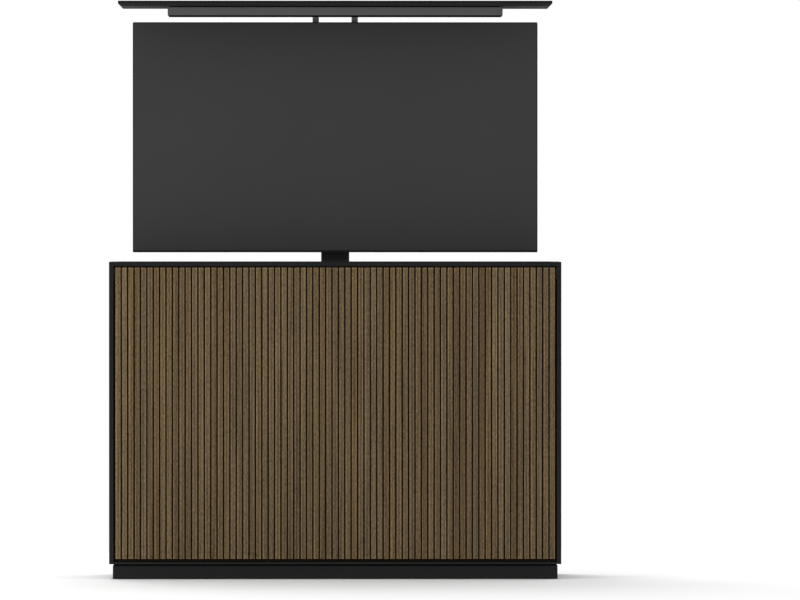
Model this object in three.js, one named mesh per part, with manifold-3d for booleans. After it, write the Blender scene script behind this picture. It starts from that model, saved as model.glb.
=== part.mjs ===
// TV lift cabinet: a black cabinet with three slatted doors, whose lid and screen rise on a telescopic column.
// Millimetres, +Z up, the front faces -Y, and the origin is on the floor under the middle of the cabinet.
import * as THREE from "three";
import { mergeVertices } from "three/addons/utils/BufferGeometryUtils.js";
import Module from "manifold-3d";

const wasm = await Module();
wasm.setup();

// Clearances and overruns that neighbouring pieces share
const seatGap = 0.3; // between pieces that rest on each other
const runningGap = 0.4; // round a shaft that turns in a bore
const overrun = 6; // how far a cutter runs past what it cuts
const weldBite = 2; // how far joined forms reach into each other
const edgeChamfer = 0.8; // broken edge of every board

// Cabinet body
const cabinetWidth = 1620;
const cabinetDepth = 450;
const boardThickness = 16;
const bottomLip = 8; // front edge of the bottom board that shows under the doors
const topRailFace = 16; // front edge of the top frame that shows over the doors
const rimWidth = 30; // top frame round the lid, side board included

// Plinth and levelling feet
const footStandOff = 1.2;
const plinthHeight = 52.8;
const shadowGapHeight = 6; // groove round the top of the plinth
const shadowGapDepth = 7;
const plinthBoard = 16;
const plinthSideInset = 13;
const plinthEndInset = 18; // at the front and at the back
const footRadius = 20;
const footPad = 9;
const footStemRadius = 6;
const footPlate = 60;
const footPlateThickness = 4;
const footInset = 30; // from the plinth boards to the foot's plate

// Lid
const lidThickness = 19;
const lidChamfer = 9;
const lidGap = 1.5; // joint line that shows round the closed lid
const seatLand = 1.1; // blunt foot of the sloped seat

// Slatted doors
const doorCount = 3;
const slatsPerDoor = 23;
const slatMargin = 5.3; // from a side board to the first slat
const slatGroove = 5.6;
const slatThickness = 7;
const slatChamfer = 0.8;
const slatRecess = 1.5; // slat faces behind the frame's front
const slatFootMargin = 8.5;
const slatHeadMargin = 1.1;
const doorBacking = 12;
const doorSideReveal = 3;
const doorHeadReveal = 3.6;
const doorSeamGap = 3;

// Door pivots
const pivotInset = 22; // from a door's hinged edge
const pivotRadius = 4;
const pivotCollarRadius = 8;
const pivotDoorDepth = 14;
const pivotFootDepth = 6;
const pivotHeadDepth = 12;
const swingClearance = 3.5;

// Touch latches
const latchWidth = 20;
const latchHeight = 14;
const latchLength = 62;
const latchNose = 10; // how far the housing stands out in front of the deck
const latchEdgeDistance = 34; // from the door's free edge
const plungerRadius = 3.5;
const plungerTail = 40;

// Inside boards
const dividerThickness = 12;
const trayClearance = 8; // over the storage deck when the lid is down
const shelfHeightShare = 0.48;

// Back
const backPanelThickness = 9;
const backInset = 3;
const backPanelGap = 2;
const mullionWidth = 60;
const mullionThickness = 16;
const ventSlots = 12;
const ventWidth = 8;
const ventHeight = 90;
const ventPitch = 24;
const ventEdgeDistance = 150; // from the top and bottom boards to the middle of a row
const portDistance = 330; // from the middle of the cabinet to the cable port and the inlet
const portHeight = 62; // above the bottom board
const grommetRadius = 30;
const grommetLip = 5;
const grommetWall = 4;
const fittingFlange = 2;

// Power inlet
const inletWidth = 28;
const inletHeight = 20;
const inletDepth = 32;
const inletLip = 8;
const inletWall = 2.2;
const inletRecess = 20;
const pinWidth = 4;
const pinThickness = 2;
const pinLength = 13;
const pinPitch = 7;

// Screen
const tvWidth = 1461;
const tvHeight = 830.5;
const tvDepth = 55;
const tvRimDepth = 28; // the thin part round the electronics
const tvShell = 2.5;
const tvSideBezel = 2.5;
const tvChin = 7;
const tvScreenThickness = 3.4;
const tvScreenRecess = 0.6;
const tvBackWidth = 1080;
const tvBackHeight = 520;
const tvBackFoot = 24; // from the screen's lower edge to the thick part
const tvBackSlope = 22;
const tvStandOff = 33.5; // under the raised screen, over the cabinet's top
const bayClearance = 12; // in front of the screen
const underScreenRoom = 164.5; // between the bottom board and the lowered screen
const tvLedge = 6;

// Tray under the lid and its two posts
const trayWidth = 1201;
const trayHeight = 32.9;
const trayWall = 2;
const trayRimHeight = 3.8; // set-in rim that meets the lid
const trayRimInset = 8;
const trayFrontClearance = 6; // inside the frame's opening when the lid is down
const trayGap = 19.8; // between the screen's upper edge and the tray
const postWidth = 23;
const postDepth = 20;
const postWall = 2;
const postSpacing = 141;
const postFlangeWidth = 60;
const postFlangeThickness = 3;

// Telescopic column
const columnSetback = 85; // from the cabinet's back to the column's axis
const columnDrop = 361; // from the cabinet's top to the top of the fixed stage
const outerWidth = 118;
const outerDepth = 84;
const tubeWall = 3;
const stageGap = 5; // between one stage's wall and the next stage
const tubeCorner = 4;
const collarHeight = 20;
const stageFoot = 18;
const stageStep = 5; // each lowered stage stands this much above what is under it
const headRise = 3; // inner stage above the middle stage when the lift is down

// Drive
const basePlateThickness = 6;
const basePlateMargin = 28;
const gearboxHeight = 50;
const gearboxMargin = 4;
const bearingDepth = 16;
const motorRadius = 24;
const motorLength = 132;
const motorCapLength = 14;
const motorCapRadius = 20;
const motorNeckLength = 8;
const motorNeckRadius = 18;
const innerScrewRadius = 7;
const screwWall = 4.6;
const controlWidth = 210;
const controlDepth = 92;
const controlHeight = 48;
const controlDistance = 110; // from the gearbox
const controlCorner = 5;

// Screen mount
const plateThickness = 4;
const plateClearance = 8; // in front of the fixed stage
const spineWidth = 176;
const spineReach = 130; // below the middle of the screen
const crossbarWidth = 560;
const crossbarHeight = 42;
const crossbarSpread = 160;
const hookThickness = 6;
const armSpacing = 400;
const armLength = 430;
const armWidth = 30;
const armDepth = 21.4;
const armWall = 2.5;
const armHook = 8;
const armHookHeight = 16;

// Facets
const roundSides = 24;
const boreSides = 32;
const slotArcSteps = 4;
const mergeDistance = 0.001;

// Levels and planes that follow from the sizes above
const halfWidth = cabinetWidth / 2;
const innerHalfWidth = halfWidth - boardThickness;
const front = -cabinetDepth / 2;
const back = cabinetDepth / 2;
const bodyBottom = footStandOff + plinthHeight;
const floorLevel = bodyBottom + boardThickness; // top of the bottom board
const tvBottomDown = floorLevel + underScreenRoom;
const tvTopDown = tvBottomDown + tvHeight;
const tvMiddleDown = (tvTopDown + tvBottomDown) / 2;
const trayBottomDown = tvTopDown + trayGap;
const trayTopDown = trayBottomDown + trayHeight;
const frameBottom = trayTopDown + seatGap;
const cabinetHeight = frameBottom + lidThickness;
const lidHalfWidth = halfWidth - rimWidth - lidGap;
const lidHalfDepth = cabinetDepth / 2 - rimWidth - lidGap;
const toeHalfWidth = lidHalfWidth - lidChamfer + lidGap;
const toeHalfDepth = lidHalfDepth - lidChamfer + lidGap;

const doorFace = front + slatRecess;
const backingFace = doorFace + slatThickness;
const doorRear = backingFace + doorBacking;
const doorBottom = bodyBottom + bottomLip + doorSideReveal;
const doorTop = cabinetHeight - topRailFace - doorHeadReveal;
const slatBottom = doorBottom + slatFootMargin;
const slatTop = doorTop - slatHeadMargin;
const fieldHalfWidth = innerHalfWidth - slatMargin;
const slatPitch = (2 * fieldHalfWidth) / (doorCount * slatsPerDoor);
const seamX = (slatsPerDoor * slatPitch) / 2;
const pivotY = backingFace + doorBacking / 2;
const swingReach = Math.hypot(pivotInset, doorBacking / 2);
const storageFront = pivotY + swingReach + swingClearance;

const columnY = back - columnSetback;
const outerFront = columnY - outerDepth / 2;
const plateRear = outerFront - plateClearance;
const plateFront = plateRear - plateThickness;
const armFront = plateFront - seatGap - armDepth;
const tvRear = armFront - seatGap;
const postFront = plateFront - seatGap - postDepth;
const tvFront = tvRear - tvDepth;
const dividerRear = tvFront - bayClearance;
const dividerFront = dividerRear - dividerThickness;

const liftTravel = tvStandOff + tvHeight + trayGap + trayHeight + seatGap + lidThickness;
const stageTravel = liftTravel / 2;
const deckTop = trayBottomDown - trayClearance;
const deckBottom = deckTop - boardThickness;

const baseTop = floorLevel + seatGap + basePlateThickness;
const gearboxTop = baseTop + seatGap + gearboxHeight;
const outerBottom = gearboxTop + seatGap;
const outerTop = cabinetHeight - columnDrop;
const middleWidth = outerWidth - 2 * (tubeWall + stageGap);
const middleDepth = outerDepth - 2 * (tubeWall + stageGap);
const innerWidth = middleWidth - 2 * (tubeWall + stageGap);
const innerDepth = middleDepth - 2 * (tubeWall + stageGap);
const middleBottomDown = outerBottom + tubeWall + stageStep;
const middleTopDown = outerTop + headRise;
const innerBottomDown = middleBottomDown + stageFoot + stageStep;
const innerTopDown = middleTopDown + headRise;
const outerScrewBore = innerScrewRadius + 2 * runningGap;
const outerScrewRadius = outerScrewBore + screwWall;

// Finishes
const finishes = {
  blackLacquer: { color: 0x1f2021, roughness: 0.42, metalness: 0 },
  blackMelamine: { color: 0x242424, roughness: 0.6, metalness: 0 },
  brownOak: { color: 0x635540, roughness: 0.62, metalness: 0 },
  blackSteel: { color: 0x161617, roughness: 0.5, metalness: 0.4 },
  greySteel: { color: 0x4a4b4d, roughness: 0.45, metalness: 0.4 },
  brightSteel: { color: 0x9a9da0, roughness: 0.3, metalness: 1 },
  castAlloy: { color: 0x77797b, roughness: 0.55, metalness: 0.8 },
  blackPlastic: { color: 0x18191a, roughness: 0.5, metalness: 0 },
  greyPlastic: { color: 0x5c5e60, roughness: 0.5, metalness: 0 },
  screenGlass: { color: 0x38383a, roughness: 0.25, metalness: 0 },
  footRubber: { color: 0x141414, roughness: 0.8, metalness: 0 },
};

// Turns a closed geometry into a solid that can be joined and cut
function solidOf(geometry) {
  const bare = geometry.clone();
  bare.deleteAttribute("normal");
  bare.deleteAttribute("uv");
  const merged = mergeVertices(bare, mergeDistance);
  const corners = merged.index.array;
  const kept = [];
  for (let i = 0; i < corners.length; i += 3) {
    const [a, b, c] = [corners[i], corners[i + 1], corners[i + 2]];
    if (a !== b && b !== c && c !== a) kept.push(a, b, c);
  }
  return new wasm.Manifold(
    new wasm.Mesh({
      numProp: 3,
      vertProperties: merged.attributes.position.array,
      triVerts: new Uint32Array(kept),
    }),
  );
}

// Joins solids into one
function join(first, ...others) {
  return others.reduce((whole, solid) => whole.add(solid), first);
}

// Cuts solids out of one
function cut(first, ...others) {
  return others.reduce((whole, solid) => whole.subtract(solid), first);
}

// Makes a named mesh of a solid
function piece(name, solid, finish) {
  const mesh = solid.getMesh();
  const geometry = new THREE.BufferGeometry();
  geometry.setAttribute("position", new THREE.BufferAttribute(mesh.vertProperties, 3));
  geometry.setIndex(new THREE.BufferAttribute(mesh.triVerts, 1));
  const shaded = geometry.toNonIndexed();
  shaded.computeVertexNormals();
  const made = new THREE.Mesh(shaded, new THREE.MeshStandardMaterial(finish));
  made.name = name;
  return made;
}

// Closed form through rings of points, each ring at its own level
function loft(rings) {
  const count = rings[0].length;
  const last = (rings.length - 1) * count;
  const index = [];
  for (let level = 0; level < rings.length - 1; level += 1) {
    for (let i = 0; i < count; i += 1) {
      const a = level * count + i;
      const b = level * count + ((i + 1) % count);
      index.push(a, b, b + count, a, b + count, a + count);
    }
  }
  for (let i = 1; i < count - 1; i += 1) {
    index.push(0, i + 1, i);
    index.push(last, last + i, last + i + 1);
  }
  const geometry = new THREE.BufferGeometry();
  geometry.setAttribute("position", new THREE.Float32BufferAttribute(rings.flat(2), 3));
  geometry.setIndex(index);
  return geometry;
}

// Rectangle at one level, each corner cut off by corner
function ring([x0, x1], [y0, y1], z, corner = 0) {
  return [
    [x1, y0 + corner, z],
    [x1, y1 - corner, z],
    [x1 - corner, y1, z],
    [x0 + corner, y1, z],
    [x0, y1 - corner, z],
    [x0, y0 + corner, z],
    [x0 + corner, y0, z],
    [x1 - corner, y0, z],
  ];
}

// A span grown by more on both sides
function grow([low, high], more) {
  return [low - more, high + more];
}

// A span of this width about a middle
function about(middle, width) {
  return [middle - width / 2, middle + width / 2];
}

// Sharp block between three spans, with its four upright edges cut off by corner
function block(x, y, [z0, z1], corner = 0) {
  return solidOf(loft([ring(x, y, z0, corner), ring(x, y, z1, corner)]));
}

// Board between three spans, with every edge broken
function board(x, y, [z0, z1], chamfer = edgeChamfer) {
  const faceX = grow(x, -chamfer);
  const faceY = grow(y, -chamfer);
  return solidOf(
    loft([
      ring(faceX, faceY, z0),
      ring(x, y, z0 + chamfer, chamfer),
      ring(x, y, z1 - chamfer, chamfer),
      ring(faceX, faceY, z1),
    ]),
  );
}

// Outline of points [y, z] drawn out along X
function beamAlongX(points, [x0, x1]) {
  const shape = new THREE.Shape(points.map(([y, z]) => new THREE.Vector2(y, z)));
  const geometry = new THREE.ExtrudeGeometry(shape, { depth: x1 - x0, bevelEnabled: false });
  const axes = new THREE.Matrix4().makeBasis(
    new THREE.Vector3(0, 1, 0),
    new THREE.Vector3(0, 0, 1),
    new THREE.Vector3(1, 0, 0),
  );
  return solidOf(geometry.applyMatrix4(axes).translate(x0, 0, 0));
}

// Outline of points [x, y] drawn out along Z
function beamAlongZ(points, [z0, z1]) {
  const shape = new THREE.Shape(points.map(([x, y]) => new THREE.Vector2(x, y)));
  const geometry = new THREE.ExtrudeGeometry(shape, { depth: z1 - z0, bevelEnabled: false });
  return solidOf(geometry.translate(0, 0, z0));
}

// Turned form about an upright axis at x, y, from points [radius, z] that run from the lower to the upper end
function turned(points, x, y, sides = roundSides) {
  const profile = points.map(([radius, z]) => new THREE.Vector2(radius, z));
  const geometry = new THREE.LatheGeometry(profile, sides);
  return solidOf(geometry.rotateX(Math.PI / 2).translate(x, y, 0));
}

// Upright round bar
function bar(radius, [z0, z1], x, y, sides = roundSides) {
  const points = [
    [0, z0],
    [radius, z0],
    [radius, z1],
    [0, z1],
  ];
  return turned(points, x, y, sides);
}

// Turned form about an axis along Y at x, z, from points [radius, distance from the back face towards the front]
function turnedAlongY(points, x, z, sides = roundSides) {
  const profile = points.map(([radius, y]) => new THREE.Vector2(radius, y));
  return solidOf(new THREE.LatheGeometry(profile, sides).translate(x, 0, z));
}

// Side boards, which run the full height of the body
function sidePanel(name, sign) {
  const x = [sign * innerHalfWidth, sign * halfWidth].sort((a, b) => a - b);
  return piece(name, board(x, [front, back], [bodyBottom, cabinetHeight]), finishes.blackLacquer);
}

// Bottom board, rebated along the front so that the doors close over it
function bottomPanel() {
  const outline = [
    [front + edgeChamfer, bodyBottom],
    [back - edgeChamfer, bodyBottom],
    [back, bodyBottom + edgeChamfer],
    [back, floorLevel - edgeChamfer],
    [back - edgeChamfer, floorLevel],
    [storageFront, floorLevel],
    [storageFront, bodyBottom + bottomLip],
    [front + edgeChamfer, bodyBottom + bottomLip],
    [front, bodyBottom + bottomLip - edgeChamfer],
    [front, bodyBottom + edgeChamfer],
  ];
  const lipTop = bodyBottom + bottomLip;
  const holeDepth = pivotFootDepth + seatGap;
  const holes = doors.map(({ pivotX }) =>
    bar(pivotRadius + runningGap, [lipTop - holeDepth, lipTop + overrun], pivotX, pivotY, boreSides),
  );
  const width = grow([-innerHalfWidth, innerHalfWidth], -seatGap);
  return piece("bottom_panel", cut(beamAlongX(outline, width), ...holes), finishes.blackLacquer);
}

// Space that the closed lid and its sloped seat take out of the top frame
function lidSeat() {
  const landTop = frameBottom + seatLand;
  const slopeRise = lidGap + lidHalfWidth - toeHalfWidth;
  const levels = [
    [toeHalfWidth, toeHalfDepth, frameBottom - overrun],
    [toeHalfWidth, toeHalfDepth, landTop],
    [toeHalfWidth + slopeRise, toeHalfDepth + slopeRise, landTop + slopeRise],
    [toeHalfWidth + slopeRise, toeHalfDepth + slopeRise, cabinetHeight + overrun],
  ];
  return solidOf(loft(levels.map(([x, y, z]) => ring([-x, x], [-y, y], z))));
}

// Front and rear rails of the top frame; the front one is rebated over the doors
function endRail(name, sign) {
  const y = [sign * toeHalfDepth, sign * (cabinetDepth / 2)].sort((a, b) => a - b);
  const x = grow([-innerHalfWidth, innerHalfWidth], -seatGap);
  const rail = cut(board(x, y, [frameBottom, cabinetHeight]), lidSeat());
  if (sign > 0) return piece(name, rail, finishes.blackLacquer);
  const rebateTop = cabinetHeight - topRailFace;
  const rebate = block(
    grow(x, overrun),
    [front - overrun, doorRear + doorSideReveal],
    [frameBottom - overrun, rebateTop],
  );
  const holes = doors.map(({ pivotX }) =>
    bar(
      pivotRadius + runningGap,
      [rebateTop - overrun, rebateTop + pivotHeadDepth + seatGap],
      pivotX,
      pivotY,
      boreSides,
    ),
  );
  return piece(name, cut(rail, rebate, ...holes), finishes.blackLacquer);
}

// Side rails of the top frame, fixed to the inside of the side boards
function sideRail(name, sign) {
  const reach = [sign * toeHalfWidth, sign * (innerHalfWidth - seatGap)];
  const x = reach.sort((a, b) => a - b);
  const y = grow([-toeHalfDepth, toeHalfDepth], -seatGap);
  const rail = cut(board(x, y, [frameBottom, cabinetHeight]), lidSeat());
  return piece(name, rail, finishes.blackLacquer);
}

// Plinth: four boards set back under the body, with a shadow gap round their top
function plinth() {
  const x = grow([-halfWidth, halfWidth], -plinthSideInset);
  const y = grow([front, back], -plinthEndInset);
  const z = [footStandOff, bodyBottom - seatGap];
  const sideY = grow(y, -plinthBoard - seatGap);
  const gapZ = [z[1] - shadowGapHeight, z[1] + overrun];
  const shadowGap = cut(
    block(grow(x, overrun), grow(y, overrun), gapZ),
    block(grow(x, -shadowGapDepth), grow(y, -shadowGapDepth), grow(gapZ, overrun)),
  );
  const boards = {
    plinth_front: board(x, [y[0], y[0] + plinthBoard], z),
    plinth_rear: board(x, [y[1] - plinthBoard, y[1]], z),
    plinth_left: board([x[0], x[0] + plinthBoard], sideY, z),
    plinth_right: board([x[1] - plinthBoard, x[1]], sideY, z),
  };
  return Object.entries(boards).map(([name, solid]) => {
    return piece(name, cut(solid, shadowGap), finishes.blackLacquer);
  });
}

// Levelling foot: a rubber pad on a threaded stem, under a plate that is screwed to the bottom board
function foot(name, signX, signY) {
  const inset = footInset + footPlate / 2;
  const x = signX * (halfWidth - plinthSideInset - plinthBoard - inset);
  const y = signY * (cabinetDepth / 2 - plinthEndInset - plinthBoard - inset);
  const plateTop = bodyBottom - seatGap;
  const plateBottom = plateTop - footPlateThickness;
  const stem = turned(
    [
      [0, 0],
      [footRadius - edgeChamfer, 0],
      [footRadius, edgeChamfer],
      [footRadius, footPad - weldBite],
      [footRadius - weldBite, footPad],
      [footStemRadius, footPad],
      [footStemRadius, plateBottom + weldBite],
      [0, plateBottom + weldBite],
    ],
    x,
    y,
  );
  const plate = board(about(x, footPlate), about(y, footPlate), [plateBottom, plateTop]);
  return piece(name, join(stem, plate), finishes.footRubber);
}

// The three doors, with the side on which each one is hung
const doors = ["left", "center", "right"].map((side, place) => {
  const seamLeft = (place - doorCount / 2) * slatsPerDoor * slatPitch;
  const seamRight = seamLeft + slatsPerDoor * slatPitch;
  const outerEdge = innerHalfWidth - doorSideReveal;
  const left = place === 0 ? -outerEdge : seamLeft + doorSeamGap / 2;
  const right = place === doorCount - 1 ? outerEdge : seamRight - doorSeamGap / 2;
  const hungRight = place === doorCount - 1;
  const pivotX = hungRight ? right - pivotInset : left + pivotInset;
  const freeEdge = hungRight ? left : right;
  const towardsPivot = hungRight ? 1 : -1;
  return { side, place, seamLeft, left, right, pivotX, freeEdge, towardsPivot };
});

// Front outline of one door's slats, in which the grooves end on the backing board
function slatOutline({ place, seamLeft }) {
  const points = [];
  const base = backingFace + weldBite;
  for (let slat = 0; slat < slatsPerDoor; slat += 1) {
    const first = place === 0 && slat === 0;
    const last = place === doorCount - 1 && slat === slatsPerDoor - 1;
    const left = seamLeft + slat * slatPitch + (first ? 0 : slatGroove / 2);
    const right = seamLeft + (slat + 1) * slatPitch - (last ? 0 : slatGroove / 2);
    points.push([left, slat === 0 ? base : backingFace]);
    points.push([left, doorFace + slatChamfer]);
    points.push([left + slatChamfer, doorFace]);
    points.push([right - slatChamfer, doorFace]);
    points.push([right, doorFace + slatChamfer]);
    points.push([right, slat === slatsPerDoor - 1 ? base : backingFace]);
  }
  return points;
}

// Slatted door in a group whose origin is its pivot axis
function slattedDoor(door) {
  const backing = board([door.left, door.right], [backingFace, doorRear], [doorBottom, doorTop]);
  const slats = beamAlongZ(slatOutline(door), [slatBottom, slatTop]);
  const boreRadius = pivotRadius + runningGap;
  const depth = pivotDoorDepth + seatGap;
  const footBore = [doorBottom - overrun, doorBottom + depth];
  const headBore = [doorTop - depth, doorTop + overrun];
  const leaf = cut(
    join(backing, slats),
    bar(boreRadius, footBore, door.pivotX, pivotY, boreSides),
    bar(boreRadius, headBore, door.pivotX, pivotY, boreSides),
  );
  const hung = new THREE.Group();
  hung.position.set(door.pivotX, pivotY, 0);
  hung.add(piece("door_" + door.side, leaf.translate([-door.pivotX, -pivotY, 0]), finishes.brownOak));
  return hung;
}

// Pivot pin with a collar that keeps the door off the frame
function pivot(name, x, lower, upper, collar) {
  const pin = turned(
    [
      [0, lower],
      [pivotRadius, lower],
      [pivotRadius, collar[0]],
      [pivotCollarRadius, collar[0]],
      [pivotCollarRadius, collar[1]],
      [pivotRadius, collar[1]],
      [pivotRadius, upper],
      [0, upper],
    ],
    x,
    pivotY,
  );
  return piece(name, pin, finishes.brightSteel);
}

// Lower and upper pivot of one door
function pivots({ side, pivotX }) {
  const lipTop = bodyBottom + bottomLip;
  const rebateTop = cabinetHeight - topRailFace;
  const footCollar = grow([lipTop, doorBottom], -seatGap);
  const headCollar = grow([doorTop, rebateTop], -seatGap);
  return [
    pivot(
      "pivot_bottom_" + side,
      pivotX,
      lipTop - pivotFootDepth,
      doorBottom + pivotDoorDepth,
      footCollar,
    ),
    pivot("pivot_top_" + side, pivotX, doorTop - pivotDoorDepth, rebateTop + pivotHeadDepth, headCollar),
  ];
}

// Touch latch under the storage deck: the housing, and the plunger that pushes the door open
function touchLatch({ side, freeEdge, towardsPivot }) {
  const x = freeEdge + towardsPivot * latchEdgeDistance;
  const top = deckBottom - seatGap;
  const middle = top - latchHeight / 2;
  const nose = storageFront - latchNose;
  const bore = turnedAlongY(
    [
      [0, nose - overrun],
      [plungerRadius + runningGap, nose - overrun],
      [plungerRadius + runningGap, nose + plungerTail + seatGap],
      [0, nose + plungerTail + seatGap],
    ],
    x,
    middle,
    boreSides,
  );
  const housing = cut(
    board(about(x, latchWidth), [nose, nose + latchLength], [top - latchHeight, top]),
    bore,
  );
  const tip = doorRear + seatGap;
  const plunger = turnedAlongY(
    [
      [0, tip],
      [plungerRadius - edgeChamfer, tip],
      [plungerRadius, tip + edgeChamfer],
      [plungerRadius, nose + plungerTail],
      [0, nose + plungerTail],
    ],
    x,
    middle,
  );
  return [
    piece("latch_housing_" + side, housing, finishes.greyPlastic),
    piece("latch_plunger_" + side, plunger, finishes.greyPlastic),
  ];
}

// Upright boards between the storage bays, behind the door seams
function partition(name, sign) {
  const x = about(sign * seamX, boardThickness);
  const y = [storageFront, dividerFront - seatGap];
  const z = grow([floorLevel, deckBottom], -seatGap);
  return piece(name, board(x, y, z), finishes.blackMelamine);
}

// Wall between the storage bays and the bay that the screen sinks into
function dividerPanel() {
  const x = grow([-innerHalfWidth, innerHalfWidth], -seatGap);
  const z = grow([floorLevel, deckBottom], -seatGap);
  return piece("divider_panel", board(x, [dividerFront, dividerRear], z), finishes.blackMelamine);
}

// Deck over the storage bays, just under the lowered tray
function storageDeck() {
  const x = grow([-innerHalfWidth, innerHalfWidth], -seatGap);
  const deck = board(x, [storageFront, dividerRear], [deckBottom, deckTop]);
  return piece("storage_deck", deck, finishes.blackMelamine);
}

// One fixed shelf in each storage bay
function shelves() {
  const partitionFace = seamX + boardThickness / 2;
  const bays = [
    ["shelf_left", [-innerHalfWidth, -partitionFace]],
    ["shelf_center", [boardThickness / 2 - seamX, seamX - boardThickness / 2]],
    ["shelf_right", [partitionFace, innerHalfWidth]],
  ];
  const middle = floorLevel + (deckBottom - floorLevel) * shelfHeightShare;
  const y = [storageFront + swingClearance, dividerFront - seatGap];
  return bays.map(([name, x]) =>
    piece(name, board(grow(x, -seatGap), y, about(middle, boardThickness)), finishes.blackMelamine),
  );
}

// Outline of one upright vent slot with round ends
function ventSlot(x, z) {
  const radius = ventWidth / 2;
  const reach = ventHeight / 2 - radius;
  const y = [back - backInset - backPanelThickness - overrun, back - backInset + overrun];
  const points = [];
  for (const end of [1, -1]) {
    for (let step = 0; step <= slotArcSteps; step += 1) {
      const angle = (Math.PI * step) / slotArcSteps;
      points.push([x + end * radius * Math.cos(angle), end * (reach + radius * Math.sin(angle)) - z]);
    }
  }
  const tall = beamAlongZ(points, y);
  return tall.rotate([-90, 0, 0]);
}

// Two back panels with rows of vent slots; one holds the cable port, the other the power inlet
function backPanel(name, sign, port) {
  const reach = [sign * (backPanelGap / 2), sign * (innerHalfWidth - seatGap)];
  const x = reach.sort((a, b) => a - b);
  const y = [back - backInset - backPanelThickness, back - backInset];
  const z = grow([floorLevel, frameBottom], -seatGap);
  const middle = (x[0] + x[1]) / 2;
  const slots = [];
  for (const row of [floorLevel + ventEdgeDistance, frameBottom - ventEdgeDistance]) {
    for (let slot = 0; slot < ventSlots; slot += 1) {
      slots.push(ventSlot(middle + (slot - (ventSlots - 1) / 2) * ventPitch, row));
    }
  }
  return piece(name, cut(board(x, y, z), port, ...slots), finishes.blackMelamine);
}

// Hole for the cable grommet
function grommetHole() {
  const z = floorLevel + portHeight;
  const points = [
    [0, back - backInset - backPanelThickness - overrun],
    [grommetRadius + seatGap, back - backInset - backPanelThickness - overrun],
    [grommetRadius + seatGap, back - backInset + overrun],
    [0, back - backInset + overrun],
  ];
  return turnedAlongY(points, portDistance, z, boreSides);
}

// Cable grommet: a sleeve through the back panel with a lip outside
function cableGrommet() {
  const rear = back - backInset;
  const lipInner = rear + seatGap;
  const inside = rear - backPanelThickness - fittingFlange;
  const bore = grommetRadius - grommetWall;
  const points = [
    [bore, inside],
    [grommetRadius, inside],
    [grommetRadius, lipInner],
    [grommetRadius + grommetLip, lipInner],
    [grommetRadius + grommetLip - edgeChamfer, lipInner + fittingFlange],
    [bore, lipInner + fittingFlange],
    [bore, inside],
  ];
  const z = floorLevel + portHeight;
  return piece("cable_grommet", turnedAlongY(points, portDistance, z, boreSides), finishes.blackPlastic);
}

// Hole for the power inlet
function inletHole() {
  const x = grow(about(-portDistance, inletWidth), seatGap);
  const y = [back - backInset - backPanelThickness - overrun, back - backInset + overrun];
  const z = grow(about(floorLevel + portHeight, inletHeight), seatGap);
  return block(x, y, z);
}

// Power inlet: a flanged socket body with three flat pins in its recess
function powerInlet() {
  const rear = back - backInset;
  const flange = [rear + seatGap, rear + seatGap + fittingFlange];
  const x = about(-portDistance, inletWidth);
  const z = about(floorLevel + portHeight, inletHeight);
  const middle = floorLevel + portHeight;
  const body = join(
    board(grow(x, inletLip), flange, grow(z, inletLip / 2)),
    block(x, [flange[1] - inletDepth, flange[0] + fittingFlange / 2], z),
  );
  const bottomY = flange[1] - inletRecess;
  const recess = block(grow(x, -inletWall), [bottomY, flange[1] + overrun], grow(z, -inletWall));
  const pins = [-1, 0, 1].map((place) =>
    block(
      about(place * pinPitch - portDistance, pinThickness),
      [bottomY - weldBite, bottomY + pinLength],
      about(middle + (place === 0 ? pinWidth / 2 : -pinWidth / 2), pinWidth),
    ),
  );
  return piece("power_inlet", join(cut(body, recess), ...pins), finishes.blackPlastic);
}

// Upright batten that both back panels are screwed to
function rearMullion() {
  const y = [
    back - backInset - backPanelThickness - seatGap - mullionThickness,
    back - backInset - backPanelThickness - seatGap,
  ];
  const z = grow([floorLevel, frameBottom], -seatGap);
  return piece("rear_mullion", board(about(0, mullionWidth), y, z), finishes.blackMelamine);
}

// Steel plate that spreads the lift's load over the bottom board
function liftBasePlate() {
  const x = [-outerWidth / 2 - basePlateMargin, outerWidth / 2 + gearboxMargin + motorLength];
  const y = grow([columnY - outerDepth / 2, columnY + outerDepth / 2], basePlateMargin / 2);
  const z = [floorLevel + seatGap, baseTop];
  return piece("lift_base_plate", board(x, y, z), finishes.blackSteel);
}

// Cast gearbox under the column, with the screw's bearing in its top
function gearboxHousing() {
  const x = grow(about(0, outerWidth), gearboxMargin);
  const y = grow(about(columnY, outerDepth), gearboxMargin);
  const casting = board(x, y, [baseTop + seatGap, gearboxTop], controlCorner);
  const bearing = bar(
    innerScrewRadius + runningGap,
    [gearboxTop - bearingDepth - seatGap, gearboxTop + overrun],
    0,
    columnY,
    boreSides,
  );
  return piece("gearbox_housing", cut(casting, bearing), finishes.castAlloy);
}

// Motor flanged to the gearbox, lying along X
function driveMotor() {
  const start = outerWidth / 2 + gearboxMargin + seatGap;
  const z = baseTop + seatGap + motorRadius;
  const points = [
    [0, 0],
    [motorNeckRadius, 0],
    [motorNeckRadius, motorNeckLength],
    [motorRadius - weldBite, motorNeckLength],
    [motorRadius, motorNeckLength + weldBite],
    [motorRadius, motorLength - motorCapLength],
    [motorCapRadius, motorLength - motorCapLength],
    [motorCapRadius, motorLength - weldBite],
    [motorCapRadius - weldBite, motorLength],
    [0, motorLength],
  ];
  const motor = turned(points, 0, 0).rotate([0, 90, 0]);
  return piece("drive_motor", motor.translate([start, columnY, z]), finishes.blackSteel);
}

// Control box that stands on the bottom board beside the gearbox
function controlBox() {
  const right = -outerWidth / 2 - controlDistance;
  const x = [right - controlWidth, right];
  const y = about(columnY, controlDepth);
  const z = [floorLevel + seatGap, floorLevel + seatGap + controlHeight];
  return piece("control_box", board(x, y, z, controlCorner), finishes.blackPlastic);
}

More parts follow.
